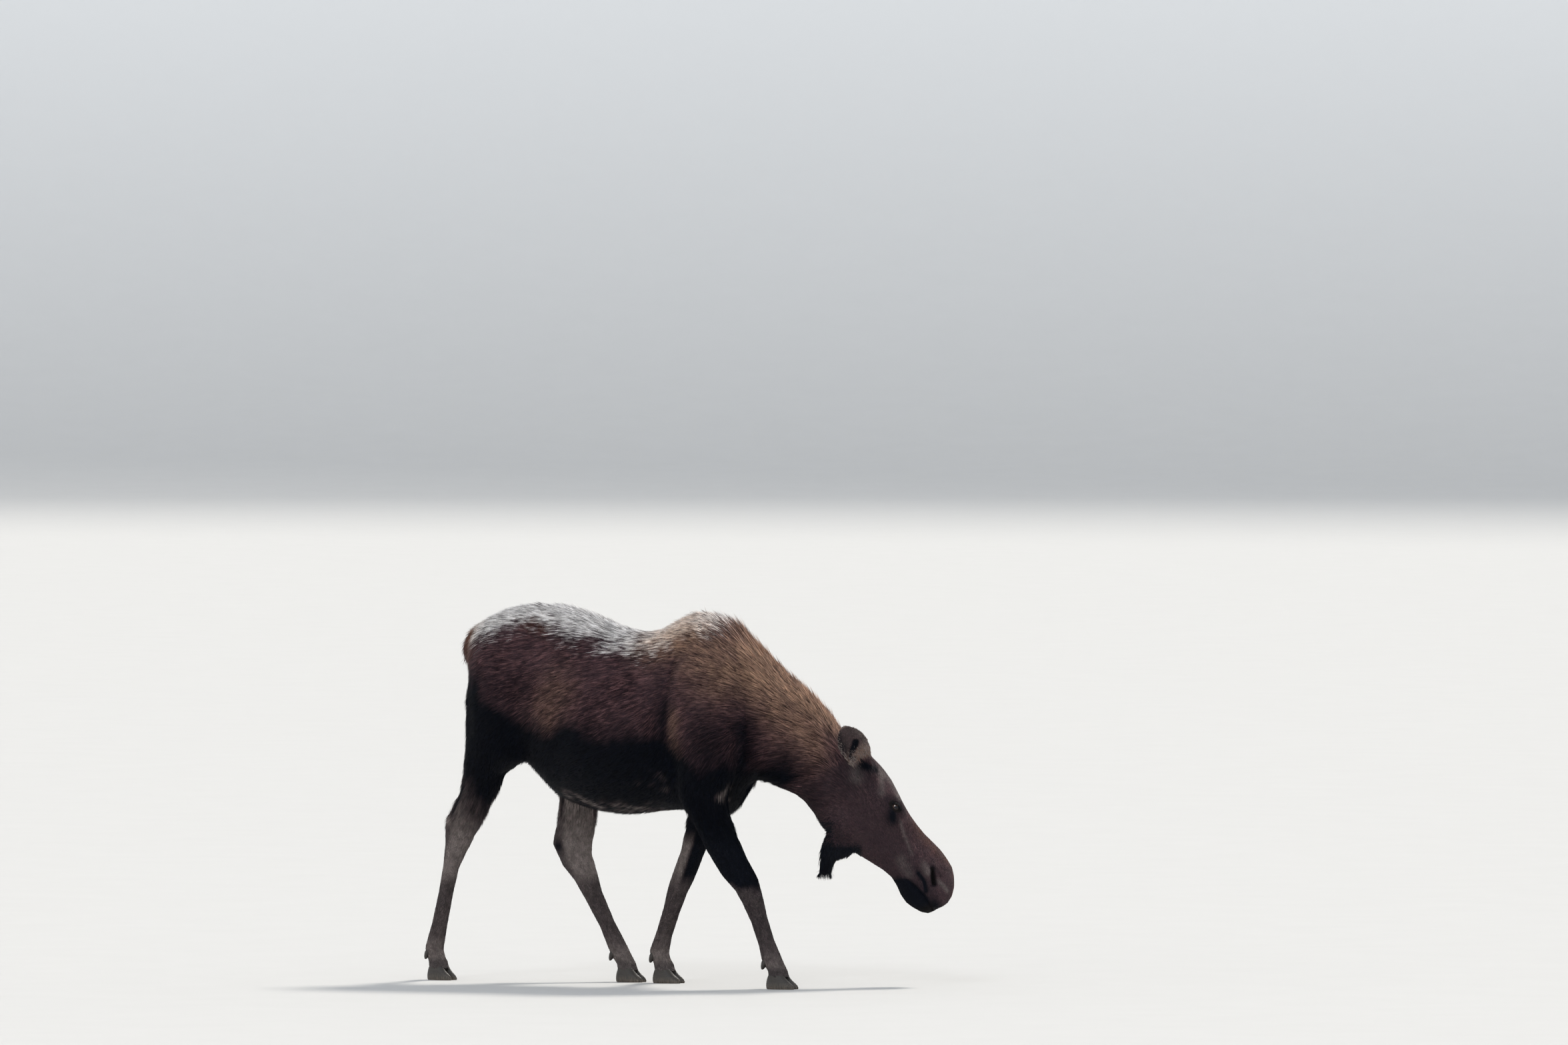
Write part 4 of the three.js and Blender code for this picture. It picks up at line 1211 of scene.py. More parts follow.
def coat_markings_and_painted_light(colours):
    """The moose's colours with its painted sheen and shade, for skin and hair alike."""
    if "coat_markings_and_painted_light" in bpy.data.node_groups:
        return bpy.data.node_groups["coat_markings_and_painted_light"]
    tree = bpy.data.node_groups.new("coat_markings_and_painted_light", "ShaderNodeTree")
    for label in ("Tone", "Tip"):
        tree.interface.new_socket(name=label, socket_type="NodeSocketFloat",
                                  in_out="INPUT").default_value = 0.5
    for label, kind in (("Color", "NodeSocketColor"), ("Roughness", "NodeSocketFloat")):
        tree.interface.new_socket(name=label, socket_type=kind, in_out="OUTPUT")
    net = Tree(tree)
    given, end = net.add("NodeGroupInput").outputs, net.add("NodeGroupOutput")
    tone, tip = given["Tone"], given["Tip"]
    place = net.place()
    clouds = net.noise(place, 5.5, 4.0, 0.6)
    flecks = net.noise(place, 34.0, 3.0, 0.6)
    # deep brown under-hair, brown locks and warm strands, golden towards their tips, the gold
    # partly the hair's own colour and partly painted sunlit sheen
    brown = colours.brown
    colour = net.mix(net.limits(clouds, 0.32, 0.62), tinted(brown, 0.42, 0.36, 0.40), brown)
    colour = net.mix(net.limits(tone, 0.5, 0.8), colour, tinted(brown, 2.0, 1.75, 1.5))
    gold = net.times(net.field("gold"), net.limits(tone, 0.0, 0.75), net.limits(tip, -0.3, 0.6))
    colour = net.mix(gold, colour, colours.gold)
    russet = net.times(net.field("russet"), net.limits(flecks, 0.25, 0.6), clamp=True)
    colour = net.mix(russet, colour, colours.russet)
    grey = net.mix(net.limits(flecks, 0.35, 0.65), colours.stocking,
                   tinted(colours.stocking, 0.6, 0.6, 0.6))
    colour = net.mix(net.field("stocking"), colour, grey)
    # nearly black where the dark coat and the painted shade lie, with an uneven edge
    night = net.mix(net.times(net.limits(flecks, 0.4, 0.75), 0.5), colours.dark_and_shade,
                    tinted(colours.dark_and_shade, 2.6, 1.9, 1.5))
    dark_share = net.math("ADD", net.field("dark_and_shade"),
                          net.times(net.math("SUBTRACT", clouds, 0.5), 0.5))
    dark_share = net.times(net.limits(dark_share, 0.08, 0.85),
                           net.limits(net.field("dark_and_shade"), 0.0, 0.1))
    colour = net.mix(dark_share, colour, night)
    # painted sheen on the tips of the lighter locks, warmer where the gold is
    sheen_share = net.math("MULTIPLY_ADD", tone, 1.25,
                     net.math("MULTIPLY_ADD", net.field("painted_sheen"), 1.05, -1.25))
    sheen_share = net.times(net.limits(sheen_share, -0.08, 0.38), net.limits(tip, -0.15, 0.35),
                      net.limits(net.field("painted_sheen"), 0.0, 0.15))
    sheen_colour = net.mix(net.field("gold"), colours.painted_sheen, (0.96, 0.77, 0.65))
    colour = net.mix(sheen_share, colour, sheen_colour)
    bare = net.field("bare")
    colour = net.mix(bare, colour, (0.010, 0.008, 0.008))
    shade = net.times(net.limits(tone, 0.15, 0.85, 0.5, 1.55),
                      net.limits(tip, 0.0, 1.0, 0.7, 1.15))
    value = net.add("ShaderNodeHueSaturation", [("Color", colour), ("Value", shade)])
    roughness = net.math("SUBTRACT", net.limits(flecks, 0.3, 0.7, 0.5, 0.66),
                         net.times(bare, 0.18))
    net.feed(end, [("Color", value.outputs["Color"]), ("Roughness", roughness)])
    return tree


def fine_hair(net, strength, distance):
    """Short hair drawn in the surface, along the way that it lies."""
    place, lie = net.place(), net.field("lie", "Vector")
    back = net.times(net.vector("DOT_PRODUCT", place, lie), -0.82)
    drawn = net.vector("ADD", place, net.vector("SCALE", lie, scale=back))
    strands = net.noise(drawn, 420.0, 4.0, 0.65)
    locks = net.noise(drawn, 130.0, 3.0, 0.6, 0.4)
    height = net.math("ADD", strands, net.times(locks, 1.2))
    bump = net.add("ShaderNodeBump", [
        ("Strength", strength), ("Distance", distance), ("Height", height)])
    return strands, bump.outputs["Normal"]


def new_material(name, specular=0.5):
    """A material with its Principled shader and the tree to build on."""
    material = bpy.data.materials.new(name)
    material.use_nodes = True
    tree = material.node_tree
    shader = next(n for n in tree.nodes if n.type == "BSDF_PRINCIPLED")
    shader.inputs["Specular IOR Level"].default_value = specular
    return material, shader, Tree(tree)


def skin_material(colours):
    """The skin: the coat's markings with short hair drawn in it."""
    material, shader, net = new_material("moose_skin", 0.12)
    strands, normal = fine_hair(net, 0.55, 0.004)
    marks = net.add("ShaderNodeGroup", node_tree=coat_markings_and_painted_light(colours))
    net.feed(marks, [("Tone", net.limits(strands, 0.3, 0.7)),
                     ("Tip", net.limits(strands, 0.3, 0.7, 0.1, 0.75))])
    net.feed(shader, [("Base Color", marks.outputs["Color"]),
                      ("Roughness", marks.outputs["Roughness"]), ("Normal", normal)])
    return material


def hair_material(name, colours, specular):
    """Locks of hair in the colours of the skin that they grow from."""
    material, shader, net = new_material(name, specular)
    marks = net.add("ShaderNodeGroup", node_tree=coat_markings_and_painted_light(colours))
    net.feed(marks, [("Tone", net.field("tone")), ("Tip", net.field("tip"))])
    net.feed(shader, [("Base Color", marks.outputs["Color"]),
                      ("Roughness", marks.outputs["Roughness"])])
    return material


# ---- coat ------------------------------------------------------------------------
def lock_tree():
    """Geometry nodes that grow locks of hair from a stretch of skin."""
    tree = bpy.data.node_groups.new("moose_locks", "GeometryNodeTree")
    tree.is_modifier = True
    face = tree.interface
    face.new_socket(name="Skin", in_out="INPUT", socket_type="NodeSocketGeometry")
    for label, kind, value in (
        ("Density", "NodeSocketFloat", 20000.0), ("Length", "NodeSocketFloat", 1.0),
        ("Width", "NodeSocketFloat", 1.0), ("Lift", "NodeSocketFloat", 0.2),
        ("Stray", "NodeSocketFloat", 0.1), ("Clump", "NodeSocketFloat", 0.2),
        ("Clump Size", "NodeSocketFloat", 0.05), ("Curl", "NodeSocketFloat", 0.0),
        ("Flatness", "NodeSocketFloat", 0.5), ("Segments", "NodeSocketInt", 1),
        ("Variety", "NodeSocketFloat", 1.0), ("Patch", "NodeSocketFloat", 0.003),
        ("Seed", "NodeSocketInt", 0),
        ("Hair", "NodeSocketMaterial", None),
    ):
        socket = face.new_socket(name=label, in_out="INPUT", socket_type=kind)
        if value is not None:
            socket.default_value = value
    face.new_socket(name="Coat", in_out="OUTPUT", socket_type="NodeSocketGeometry")
    given = tree.nodes.new("NodeGroupInput").outputs
    end = tree.nodes.new("NodeGroupOutput")
    net = Tree(tree)
    vector = net.vector

    def named(label, kind="FLOAT"):
        return net.add("GeometryNodeInputNamedAttribute", [("Name", label)],
                       data_type=kind).outputs[0]

    def chance(low, high, step, kind="FLOAT"):
        seed = net.add("FunctionNodeIntegerMath", [(0, given["Seed"]), (1, step)],
                       operation="ADD").outputs[0]
        node = net.add("FunctionNodeRandomValue",
                       [("Min", low), ("Max", high), ("Seed", seed)], data_type=kind)
        return next(o for o in node.outputs if o.enabled)

    def keep(geometry, label, value, kind="FLOAT", domain="POINT"):
        return net.add("GeometryNodeStoreNamedAttribute",
                       [("Geometry", geometry), ("Name", label), ("Value", value)],
                       data_type=kind, domain=domain).outputs[0]

    # one lock: a three-sided spike of length one
    lock = net.add("GeometryNodeMeshCone", [
        ("Vertices", 3), ("Side Segments", given["Segments"]), ("Radius Top", 0.0),
        ("Radius Bottom", 1.0), ("Depth", 1.0)], fill_type="NGON").outputs["Mesh"]
    place = net.add("GeometryNodeInputPosition").outputs[0]
    parts = net.parts(place)
    lock = keep(lock, "tip", parts["Z"])
    across = net.math("MULTIPLY_ADD", parts["X"], 0.5, net.times(parts["Z"], 0.15))
    down = net.math("MULTIPLY_ADD", parts["Y"], 0.2, net.math("SUBTRACT", parts["Z"], 0.5))
    spot = net.add("ShaderNodeCombineXYZ", [("X", across), ("Y", down)]).outputs[0]
    lock = keep(lock, "spot", spot, "FLOAT_VECTOR")

    # roots on the skin
    density = net.times(given["Density"], named("hair_number"))
    scatter = net.add(
        "GeometryNodeDistributePointsOnFaces",
        [("Mesh", given["Skin"]), ("Density", density), ("Seed", given["Seed"])],
        distribute_method="RANDOM")
    roots, normal = scatter.outputs["Points"], scatter.outputs["Normal"]
    lie = named("lie", "FLOAT_VECTOR")
    drawn = vector("SCALE", lie, scale=net.times(vector("DOT_PRODUCT", place, lie), -0.8))
    streak = net.limits(net.noise(vector("ADD", place, drawn), 62.0, 3.0, 0.6), 0.3, 0.7)
    tone = net.math("MULTIPLY_ADD", chance(-0.5, 0.5, 1), 0.5,
                    net.math("MULTIPLY_ADD", streak, 0.62, -0.31))
    tone = net.math("MULTIPLY_ADD", tone, given["Variety"], 0.5)
    roots = keep(roots, "tone", tone)
    root_normal = named("skin_normal", "FLOAT_VECTOR")
    roots = keep(roots, "skin_normal", normal, "FLOAT_VECTOR")

    # the way each lock points: along the coat, gathered in clumps, lifted off the skin
    grain = net.math("DIVIDE", 1.0, given["Clump Size"])
    cloud = net.noise(place, grain, 2.0, output="Color")
    gather = vector("SCALE", vector("SUBTRACT", cloud, (0.5, 0.5, 0.5)),
                    scale=net.times(given["Clump"], 2.0))
    stray = vector("SCALE", chance((-1, -1, -1), (1, 1, 1), 2, "FLOAT_VECTOR"),
                   scale=given["Stray"])
    way = vector("ADD", lie, vector("ADD", gather, stray))
    flat = vector("SCALE", root_normal, scale=vector("DOT_PRODUCT", way, root_normal))
    way = vector("NORMALIZE", vector("SUBTRACT", way, flat))
    lift = net.times(given["Lift"], chance(0.6, 1.4, 3))
    rise = vector("SCALE", root_normal, scale=net.math("TANGENT", lift))
    way = vector("NORMALIZE", vector("ADD", way, rise))
    turn = net.add("FunctionNodeAlignRotationToVector", [("Vector", way)], axis="Z").outputs[0]
    turn = net.add("FunctionNodeAlignRotationToVector", [
        ("Rotation", turn), ("Vector", root_normal)], axis="Y", pivot_axis="Z").outputs[0]

    length = net.times(named("hair_length"), given["Length"], chance(0.7, 1.25, 4))
    width = net.times(named("hair_width"), given["Width"], chance(0.7, 1.3, 5), 0.577)
    size = net.add("ShaderNodeCombineXYZ", [
        ("X", width), ("Y", net.times(width, given["Flatness"])), ("Z", length)])
    sown = net.add("GeometryNodeInstanceOnPoints", [
        ("Points", roots), ("Instance", lock), ("Rotation", turn), ("Scale", size.outputs[0])])
    coat = net.add("GeometryNodeRealizeInstances", [
        ("Geometry", sown.outputs[0])]).outputs[0]

    # longer hair bends back to the body towards its tip
    tip = named("tip")
    bend = net.times(tip, tip, given["Curl"], named("hair_length"))
    droop = vector("SCALE", vector("ADD", root_normal, (0.0, 0.0, 0.6)),
                   scale=net.times(bend, -1.0))
    coat = net.add("GeometryNodeSetPosition", [
        ("Geometry", coat), ("Offset", droop)]).outputs[0]

    root_place = named("root_place", "FLOAT_VECTOR")
    patch = vector("ADD", root_place, vector("SCALE", named("spot", "FLOAT_VECTOR"),
                                             scale=given["Patch"]))
    coat = keep(coat, "OFBake", patch, "FLOAT2", "CORNER")
    coat = net.add("GeometryNodeSetShadeSmooth", [("Geometry", coat)]).outputs[0]
    coat = net.add("GeometryNodeSetMaterial", [
        ("Geometry", coat), ("Material", given["Hair"])]).outputs[0]
    tree.links.new(coat, end.inputs["Coat"])
    return tree


# What the hair takes over from the skin, and what it drops again once it has grown.
LOCK_FIELDS = ("lie", "hair_length", "hair_width", "hair_number",
               "painted_sheen", "dark_and_shade", "stocking", "gold", "russet", "bare")
SCRATCH_FIELDS = ("root_place", "spot", "lie", "hair_length", "hair_width", "hair_number",
                  "skin_normal")


def stretch_of_skin(name, chosen, fields):
    """A copy of part of the skin, unwrapped, for hair to grow on."""
    skin = bpy.data.objects["skin"].data
    triangles = triangles_of(skin)
    inside = chosen[triangles].sum(axis=1) >= 2
    used, index = np.unique(triangles[inside], return_inverse=True)
    mesh = mesh_from(name, points_of(skin)[used], index.reshape(-1, 3))
    for field in LOCK_FIELDS:
        values = fields[field] if field in fields else read(skin, field)
        store(mesh, field, values[used])
    made = new_object(name, mesh)
    mesh.uv_layers.new(name="root_place")
    bpy.context.view_layer.objects.active = made
    made.select_set(True)
    bpy.ops.object.mode_set(mode="EDIT")
    bpy.ops.mesh.select_all(action="SELECT")
    bpy.ops.uv.smart_project(angle_limit=math.radians(60), island_margin=0.004)
    bpy.ops.object.mode_set(mode="OBJECT")
    made.select_set(False)
    return made


def grow(name, chosen, material, slot, seed_step, fields=(), **values):
    """Grows the hair of one piece of the coat and leaves it as a plain mesh."""
    made = stretch_of_skin(name, chosen, dict(fields))
    tree = bpy.data.node_groups.get("moose_locks") or lock_tree()
    locks = made.modifiers.new("locks", "NODES")
    locks.node_group = tree
    coat = bpy.context.scene.moose_coat
    settings = {"Hair": material, "Patch": coat.patch, "Seed": coat.seed + seed_step}
    settings.update({k.replace("_", " "): v for k, v in values.items()})
    for item in tree.interface.items_tree:
        if item.item_type == "SOCKET" and item.in_out == "INPUT" and item.name in settings:
            locks[item.identifier] = settings[item.name]
    replace_by_evaluated(made)
    mesh = made.data
    for field in SCRATCH_FIELDS:
        if field in mesh.attributes:
            mesh.attributes.remove(mesh.attributes[field])
    if not mesh.polygons:
        raise RuntimeError(f"no hair grew on {name}")
    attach(made, "root")
    return made


def skin_places():
    """Where each vertex of the finished skin lies."""
    skin = bpy.data.objects["skin"].data
    points = points_of(skin)
    return Places(points, normals_of(points, triangles_of(skin)))


class MOOSE_OT_short_coat(bpy.types.Operator):
    """Grow the short coat of the body, legs, face and ears"""

    bl_idname = "moose.short_coat"
    bl_label = "Short coat"

    def execute(self, context):
        coat = context.scene.moose_coat
        at = skin_places()
        hair = hair_material("moose_hair", context.scene.moose_colours, 0.12)
        legs = at.legs_mask(760, 160) > 0.5
        fore = at.layout[:, 0] > 180
        head = at.head > 0.5
        ears = (at.ear_mask > 0.4) & head
        bell = at.bell > 0.5
        neck = (at.s > 640) & ~head & ~legs & ~bell
        trunk = ~head & ~legs & ~neck & ~bell
        right, rear = at.left < 0, at.s < 60
        pieces = {
            "coat_rump_right": (trunk & right & rear, "coat"),
            "coat_rump_left": (trunk & ~right & rear, "coat"),
            "coat_shoulder_right": (trunk & right & ~rear, "coat"),
            "coat_shoulder_left": (trunk & ~right & ~rear, "coat"),
            "coat_neck": (neck, "coat"),
            "coat_face_right": (head & ~ears & ~bell & (at.y < 0), "face"),
            "coat_face_left": (head & ~ears & ~bell & (at.y >= 0), "face"),
            "coat_ears": (ears, "ear"),
            "coat_fore_legs": (legs & fore, "dark_leg"),
            "coat_hind_legs": (legs & ~fore, "dark_leg"),
        }
        for number, (name, (chosen, slot)) in enumerate(pieces.items()):
            calm = 0.55 if "face" in name or "legs" in name or "ears" in name else 1.0
            grow(name, chosen, hair, slot, 11 * number, Density=coat.density,
                 Lift=coat.lift * calm, Stray=0.10, Clump=0.42 * calm, Clump_Size=0.045,
                 Flatness=0.45, Variety=calm)
        return {"FINISHED"}


class MOOSE_OT_long_hair(bpy.types.Operator):
    """Grow the crest, the bell, the tail, the lashes and the fringes of the ears"""

    bl_idname = "moose.long_hair"
    bl_label = "Long hair"

    def execute(self, context):
        self.hair = hair_material("moose_long_hair", context.scene.moose_colours, 0.2)
        skin = bpy.data.objects["skin"].data
        at, lie = skin_places(), read(skin, "lie")
        self.grow_crest(at, lie, context.scene.moose_coat)
        self.grow_bell(at, lie, context.scene.moose_coat, read(skin, "dark_and_shade"))
        self.grow_fringes(at)
        self.grow_lashes(at, lie)
        tail = ramp(at.s, -612, -632) * ramp(at.z, 1340, 1370)
        self.long_locks("tail_hair", "coat", 104, tail > 0.05, tail, 0.045, 0.0038,
                        {"lie": unit(lie * 0.3 - UP)},
                        Density=50000.0, Lift=0.2, Stray=0.15, Clump=0.3, Clump_Size=0.03)
        return {"FINISHED"}

    def long_locks(self, name, slot, seed_step, chosen, number, length, width, fields,
                   **values):
        """Grows hair of two segments on the chosen vertices."""
        fields = {"hair_number": number, "hair_length": length, "hair_width": width, **fields}
        for field, amount in fields.items():
            if np.ndim(amount) == 0:
                fields[field] = np.full(len(number), amount)
        values = {"Curl": 0.1, "Flatness": 0.5, "Segments": 2, **values}
        grow(name, chosen, self.hair, slot, seed_step, fields, **values)

    def grow_crest(self, at, lie, coat):
        """The mane on the top of hump and neck."""
        top = np.interp(at.s, *CREST)
        crest = ramp(top - at.z, 110, 30) * ramp(at.s, 470, 600) * ramp(at.s, 1215, 1150)
        crest *= 1 - at.ear_mask
        taper = 0.5 + 0.5 * ramp(at.s, 480, 700) * ramp(at.s, 1215, 1000)
        self.long_locks("crest_hair", "coat", 101, crest > 0.04, crest**0.7,
                        coat.crest_length * taper, 0.0042, {"lie": unit(lie + 0.1 * UP)},
                        Density=32000.0, Lift=0.3, Stray=0.16, Clump=0.4, Clump_Size=0.03,
                        Curl=0.06)

    def grow_bell(self, at, lie, coat, dark_and_shade):
        """Long on the tassels, short under the shelf of the throat in front of them."""
        throat = bump_at(side_line(at.t, at.n, [(250, -290), (360, -262)]), 58) * at.head
        bell = np.maximum(at.bell, 0.7 * throat * ramp(np.abs(at.y), 75, 45))
        hang = np.clip((at.z - BELL_TIP) * MM, 0.012, coat.bell_length)
        hang = blend(hang, np.minimum(hang, 0.018), ramp(at.before_bell, -16, 4))
        self.long_locks("bell_hair", "bell", 102, bell > 0.05,
                        bell * (1 + ramp(at.z, 520, 480)), hang * (0.3 + 0.6 * at.bell), 0.0040,
                        {"dark_and_shade": np.maximum(dark_and_shade, ramp(bell, 0.0, 0.3)),
                         "lie": unit(lie - 0.8 * UP)},
                        Density=60000.0, Lift=0.12, Stray=0.1, Clump=0.35, Clump_Size=0.03)

    def grow_fringes(self, at):
        """Pale hair along the rims and at the roots of the ears."""
        fringe = np.zeros(len(at.s))
        for ear in at.ears.values():
            rim = bump_at((ear["rim"] - 0.9) / 0.2, 1)
            root = bump_at((ear["along"] - 0.12) / 0.16, 1)
            fringe = np.maximum(fringe, ear["mask"] * np.maximum(0.8 * rim, root)
                                * ramp(ear["facing"], -0.3, 0.2))
        # their pale colour is partly a painted rim light
        self.long_locks("ear_fringe", "ear", 103, fringe > 0.06, fringe, 0.015, 0.0020,
                        {"dark_and_shade": 0.0, "stocking": 0.85, "gold": 0.5},
                        Density=80000.0, Lift=0.25, Stray=0.15, Clump=0.5, Clump_Size=0.02,
                        Curl=0.12)

    def grow_lashes(self, at, lie):
        """Lashes along the upper lids, drooping forward."""
        lash, droop = np.zeros(len(lie)), np.zeros((len(lie), 3))
        for hand in (-1, 1):
            m, _, high, out, _ = eye_opening(at.layout, hand)
            brim = bump_at(m - 1.35, 0.3) * ramp(high, 3, 8) * (out > 0) * (m < 3)
            lash = np.maximum(lash, brim)
            droop += brim[:, None] * head_direction(0.75, hand * 0.3, -0.6)
        self.long_locks("eye_lashes", "face", 105, lash > 0.05, lash, 0.014, 0.0011,
                        {"dark_and_shade": 1.0, "stocking": 0.0, "bare": 0.0,
                         "lie": unit(droop + 0.01 * lie)},
                        Density=600000.0, Lift=0.75, Stray=0.1, Clump=0.3, Clump_Size=0.01,
                        Flatness=0.6)


# ---- eyes ------------------------------------------------------------------------
def catch_group():
    """The collection that the catch light falls on; it holds only the eyes."""
    name = "lit_by_catch_light"
    return bpy.data.collections.get(name) or bpy.data.collections.new(name)


EYE_SIDES = 48  # faces round an eyeball
EYE_ROWS = 32  # faces from its front to its back


class MOOSE_OT_eyes(bpy.types.Operator):
    """Make the eyes: a wet ball with its iris and a level pupil"""

    bl_idname = "moose.eyes"
    bl_label = "Eyes"

    def execute(self, context):
        shine = eye_material(context.scene.moose_colours)
        for name, hand in (("right", -1), ("left", 1)):
            gaze = unit(head_direction(0.16, hand * 0.97, 0.1))
            level = unit(np.cross(gaze, [0, 0, 1.0]))
            high = np.cross(level, gaze)
            across = 2 * math.pi * np.arange(EYE_SIDES) / EYE_SIDES
            rows = [
                (math.sin(u) * math.cos(v), math.sin(u) * math.sin(v), math.cos(u))
                for u in math.pi * np.arange(1, EYE_ROWS) / EYE_ROWS for v in across]
            rows = np.array([*rows, (0, 0, 1), (0, 0, -1)], float)
            cornea = 1 + 0.045 * ramp(rows[:, 2], 0.72, 0.97)
            reach = EYE_RADIUS * 0.985 * cornea[:, None]
            points = eye_centre(hand) + reach * (rows @ np.stack([level, high, gaze]))
            front, back = len(rows) - 2, len(rows) - 1
            faces = ring_faces(EYE_ROWS - 1, EYE_SIDES) + fan_faces(0, EYE_SIDES, front)
            faces += fan_faces(front - EYE_SIDES, EYE_SIDES, back)
            mesh = smooth_mesh("eyeball_" + name, to_frame(points).tolist(), faces, shine)
            store(mesh, "gaze", rows)
            made = new_object("eyeball_" + name, mesh)
            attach(made, "root")
            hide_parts("eye_" + name)
            catch_group().objects.link(made)
        return {"FINISHED"}


def eye_material(colours):
    """A dark iris with a level pupil under a wet surface."""
    material, shader, net = new_material("wet_eye", 0.24)
    gaze = net.field("gaze", "Vector")
    parts = net.parts(gaze)

    def from_middle(level):
        return net.math("SQRT", net.math("ADD", net.times(level, level),
                                         net.times(parts["Y"], parts["Y"])))

    pupil = from_middle(net.times(parts["X"], 0.62))
    disc = from_middle(parts["X"])
    rays = net.noise(gaze, 14.0, 4.0, 0.7)
    iris = net.mix(rays, colours.iris, tinted(colours.iris, 2.6, 2.6, 2.6))
    white = net.mix(rays, (0.006, 0.004, 0.003), (0.014, 0.010, 0.008))
    colour = net.mix(net.limits(disc, 0.70, 0.80), iris, white)
    colour = net.mix(net.limits(pupil, 0.34, 0.28), colour, (0.002, 0.002, 0.003))
    net.feed(shader, [("Base Color", colour), ("Roughness", 0.06)])
    return material


# ---- hooves ------------------------------------------------------------------------
# Each foot: place, turn in degrees, size.
FEET = {
    "fore_right": (948, -115, 4, 1.0), "fore_left": (266, 112, 4, 1.0),
    "hind_right": (-706, -115, -6, 0.95), "hind_left": (82, 114, 6, 0.95),
}
# Height, toe, heel and half width of a claw, as shares of its own sizes.
CLAW_ROWS = [(0.0, 0.55, 0.41, 0.48), (0.03, 0.57, 0.43, 0.5), (0.15, 0.57, 0.45, 0.52),
             (0.35, 0.50, 0.455, 0.505), (0.6, 0.35, 0.44, 0.46), (0.85, 0.235, 0.41, 0.40),
             (1.0, 0.18, 0.38, 0.36)]
CLAW_SIZE = (122.0, 45.0, 58.0)


def lofted(rings, rows_between):
    """A closed mesh through rings of points, with smooth rows between them."""
    rings = np.asarray(rings, float)
    count = len(rings)
    fine = []
    for i in range(count - 1):
        a, b, c, d = (rings[min(max(k, 0), count - 1)] for k in (i - 1, i, i + 1, i + 2))
        for step in range(rows_between):
            t = step / rows_between
            fine.append(0.5 * (2 * b + (c - a) * t + (2 * a - 5 * b + 4 * c - d) * t * t
                               + (3 * b - a - 3 * c + d) * t**3))
    fine.append(rings[-1])
    fine = np.array(fine)
    rows, sides = fine.shape[:2]
    points = np.concatenate([fine.reshape(-1, 3), fine[[0, -1]].mean(axis=1)])
    low, high = len(points) - 2, len(points) - 1
    return points, (ring_faces(rows, sides) + fan_faces(0, sides, low)
                    + fan_faces((rows - 1) * sides, sides, high))


def claw_points(x, y, inner, turn, size, sides=36):
    """Rings of one claw of a cloven hoof, toe forward, its inner wall straight."""
    rings = []
    length, wide_size, high_size = CLAW_SIZE
    for h, toe, heel, wide in CLAW_ROWS:
        u = 2 * math.pi * np.arange(sides) / sides
        c, s = np.cos(u), np.sin(u)
        px = np.where(c >= 0, toe, heel) * length * size * c
        power = np.where(c > 0, 1.2, 0.82)
        py = wide * wide_size * size * np.sign(s) * np.abs(s) ** power
        py = np.where(py * inner > 0, py * 0.72, py)
        py = py + inner * 0.1 * px
        a = math.radians(turn)
        rings.append(np.stack([
            x + px * math.cos(a) - py * math.sin(a), y + px * math.sin(a) + py * math.cos(a),
            np.full(sides, h * high_size)], axis=1))
    return rings


class MOOSE_OT_hooves(bpy.types.Operator):
    """Make the cloven hooves and the dewclaws, with their growth rings"""

    bl_idname = "moose.hooves"
    bl_label = "Hooves"

    def execute(self, context):
        horn = horn_material(context.scene.moose_colours)
        for foot, (x, y, turn, size) in FEET.items():
            apart = CLAW_SIZE[1] * 0.5 * size
            for which, hand in (("left", 1), ("right", -1)):
                a = math.radians(turn)
                points, faces = lofted(claw_points(
                    x - hand * apart * math.sin(a), y + hand * apart * math.cos(a),
                    -hand, turn + hand * 3, size), 5)
                self.finish_horn(f"{foot}_claw_{which}", points, faces, horn, rings=True)
                node = f"{foot}_dewclaw_{which}"
                points, faces = lofted(dewclaw_rings(node, hand, size), 4)
                self.finish_horn(node, points, faces, horn, rings=False)
        return {"FINISHED"}

    def finish_horn(self, node, points, faces, horn, rings):
        """Makes the object of one claw, with growth rings if it has them."""
        if rings:
            middle = points.mean(axis=0)
            out = unit((points - middle) * [1, 1, 0])
            height = points[:, 2]
            wave = np.cos(2 * np.pi * height / 7.5 + 0.6 * np.sin(points[:, 0] / 9))
            side = ramp(height, 3, 12) * ramp(height, 60, 48)
            points = points + out * (0.45 * wave * side)[:, None]
        name = "horn_" + node
        made = new_object(name, smooth_mesh(name, to_frame(points).tolist(), faces, horn))
        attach(made, "root")
        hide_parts(node)


def dewclaw_rings(node, hand, size, sides=20):
    """Rings of a dewclaw: a blunt cone that points down and back."""
    low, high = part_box(node)
    low, high = in_layout(np.array(low)), in_layout(np.array(high))
    outer = high[1] if hand > 0 else low[1]
    top = np.array([
        low[0] + 17.6 * size, outer - hand * 18.4 * size, low[2] + 42.6 * size])
    down = np.array([-0.3, hand * 0.18, -0.94])
    u = 2 * math.pi * np.arange(sides) / sides
    rings = []
    for d, a, b in ((-4, 10, 9), (4, 13, 12), (14, 15.4, 13.4), (30, 12, 10), (39, 7.5, 6),
                    (43, 4, 3)):
        rings.append(top + size * (
            d * down + a * np.cos(u)[:, None] * np.array([0, 1, 0])
            + b * np.sin(u)[:, None] * np.array([0.94, 0, -0.3])))
    return rings


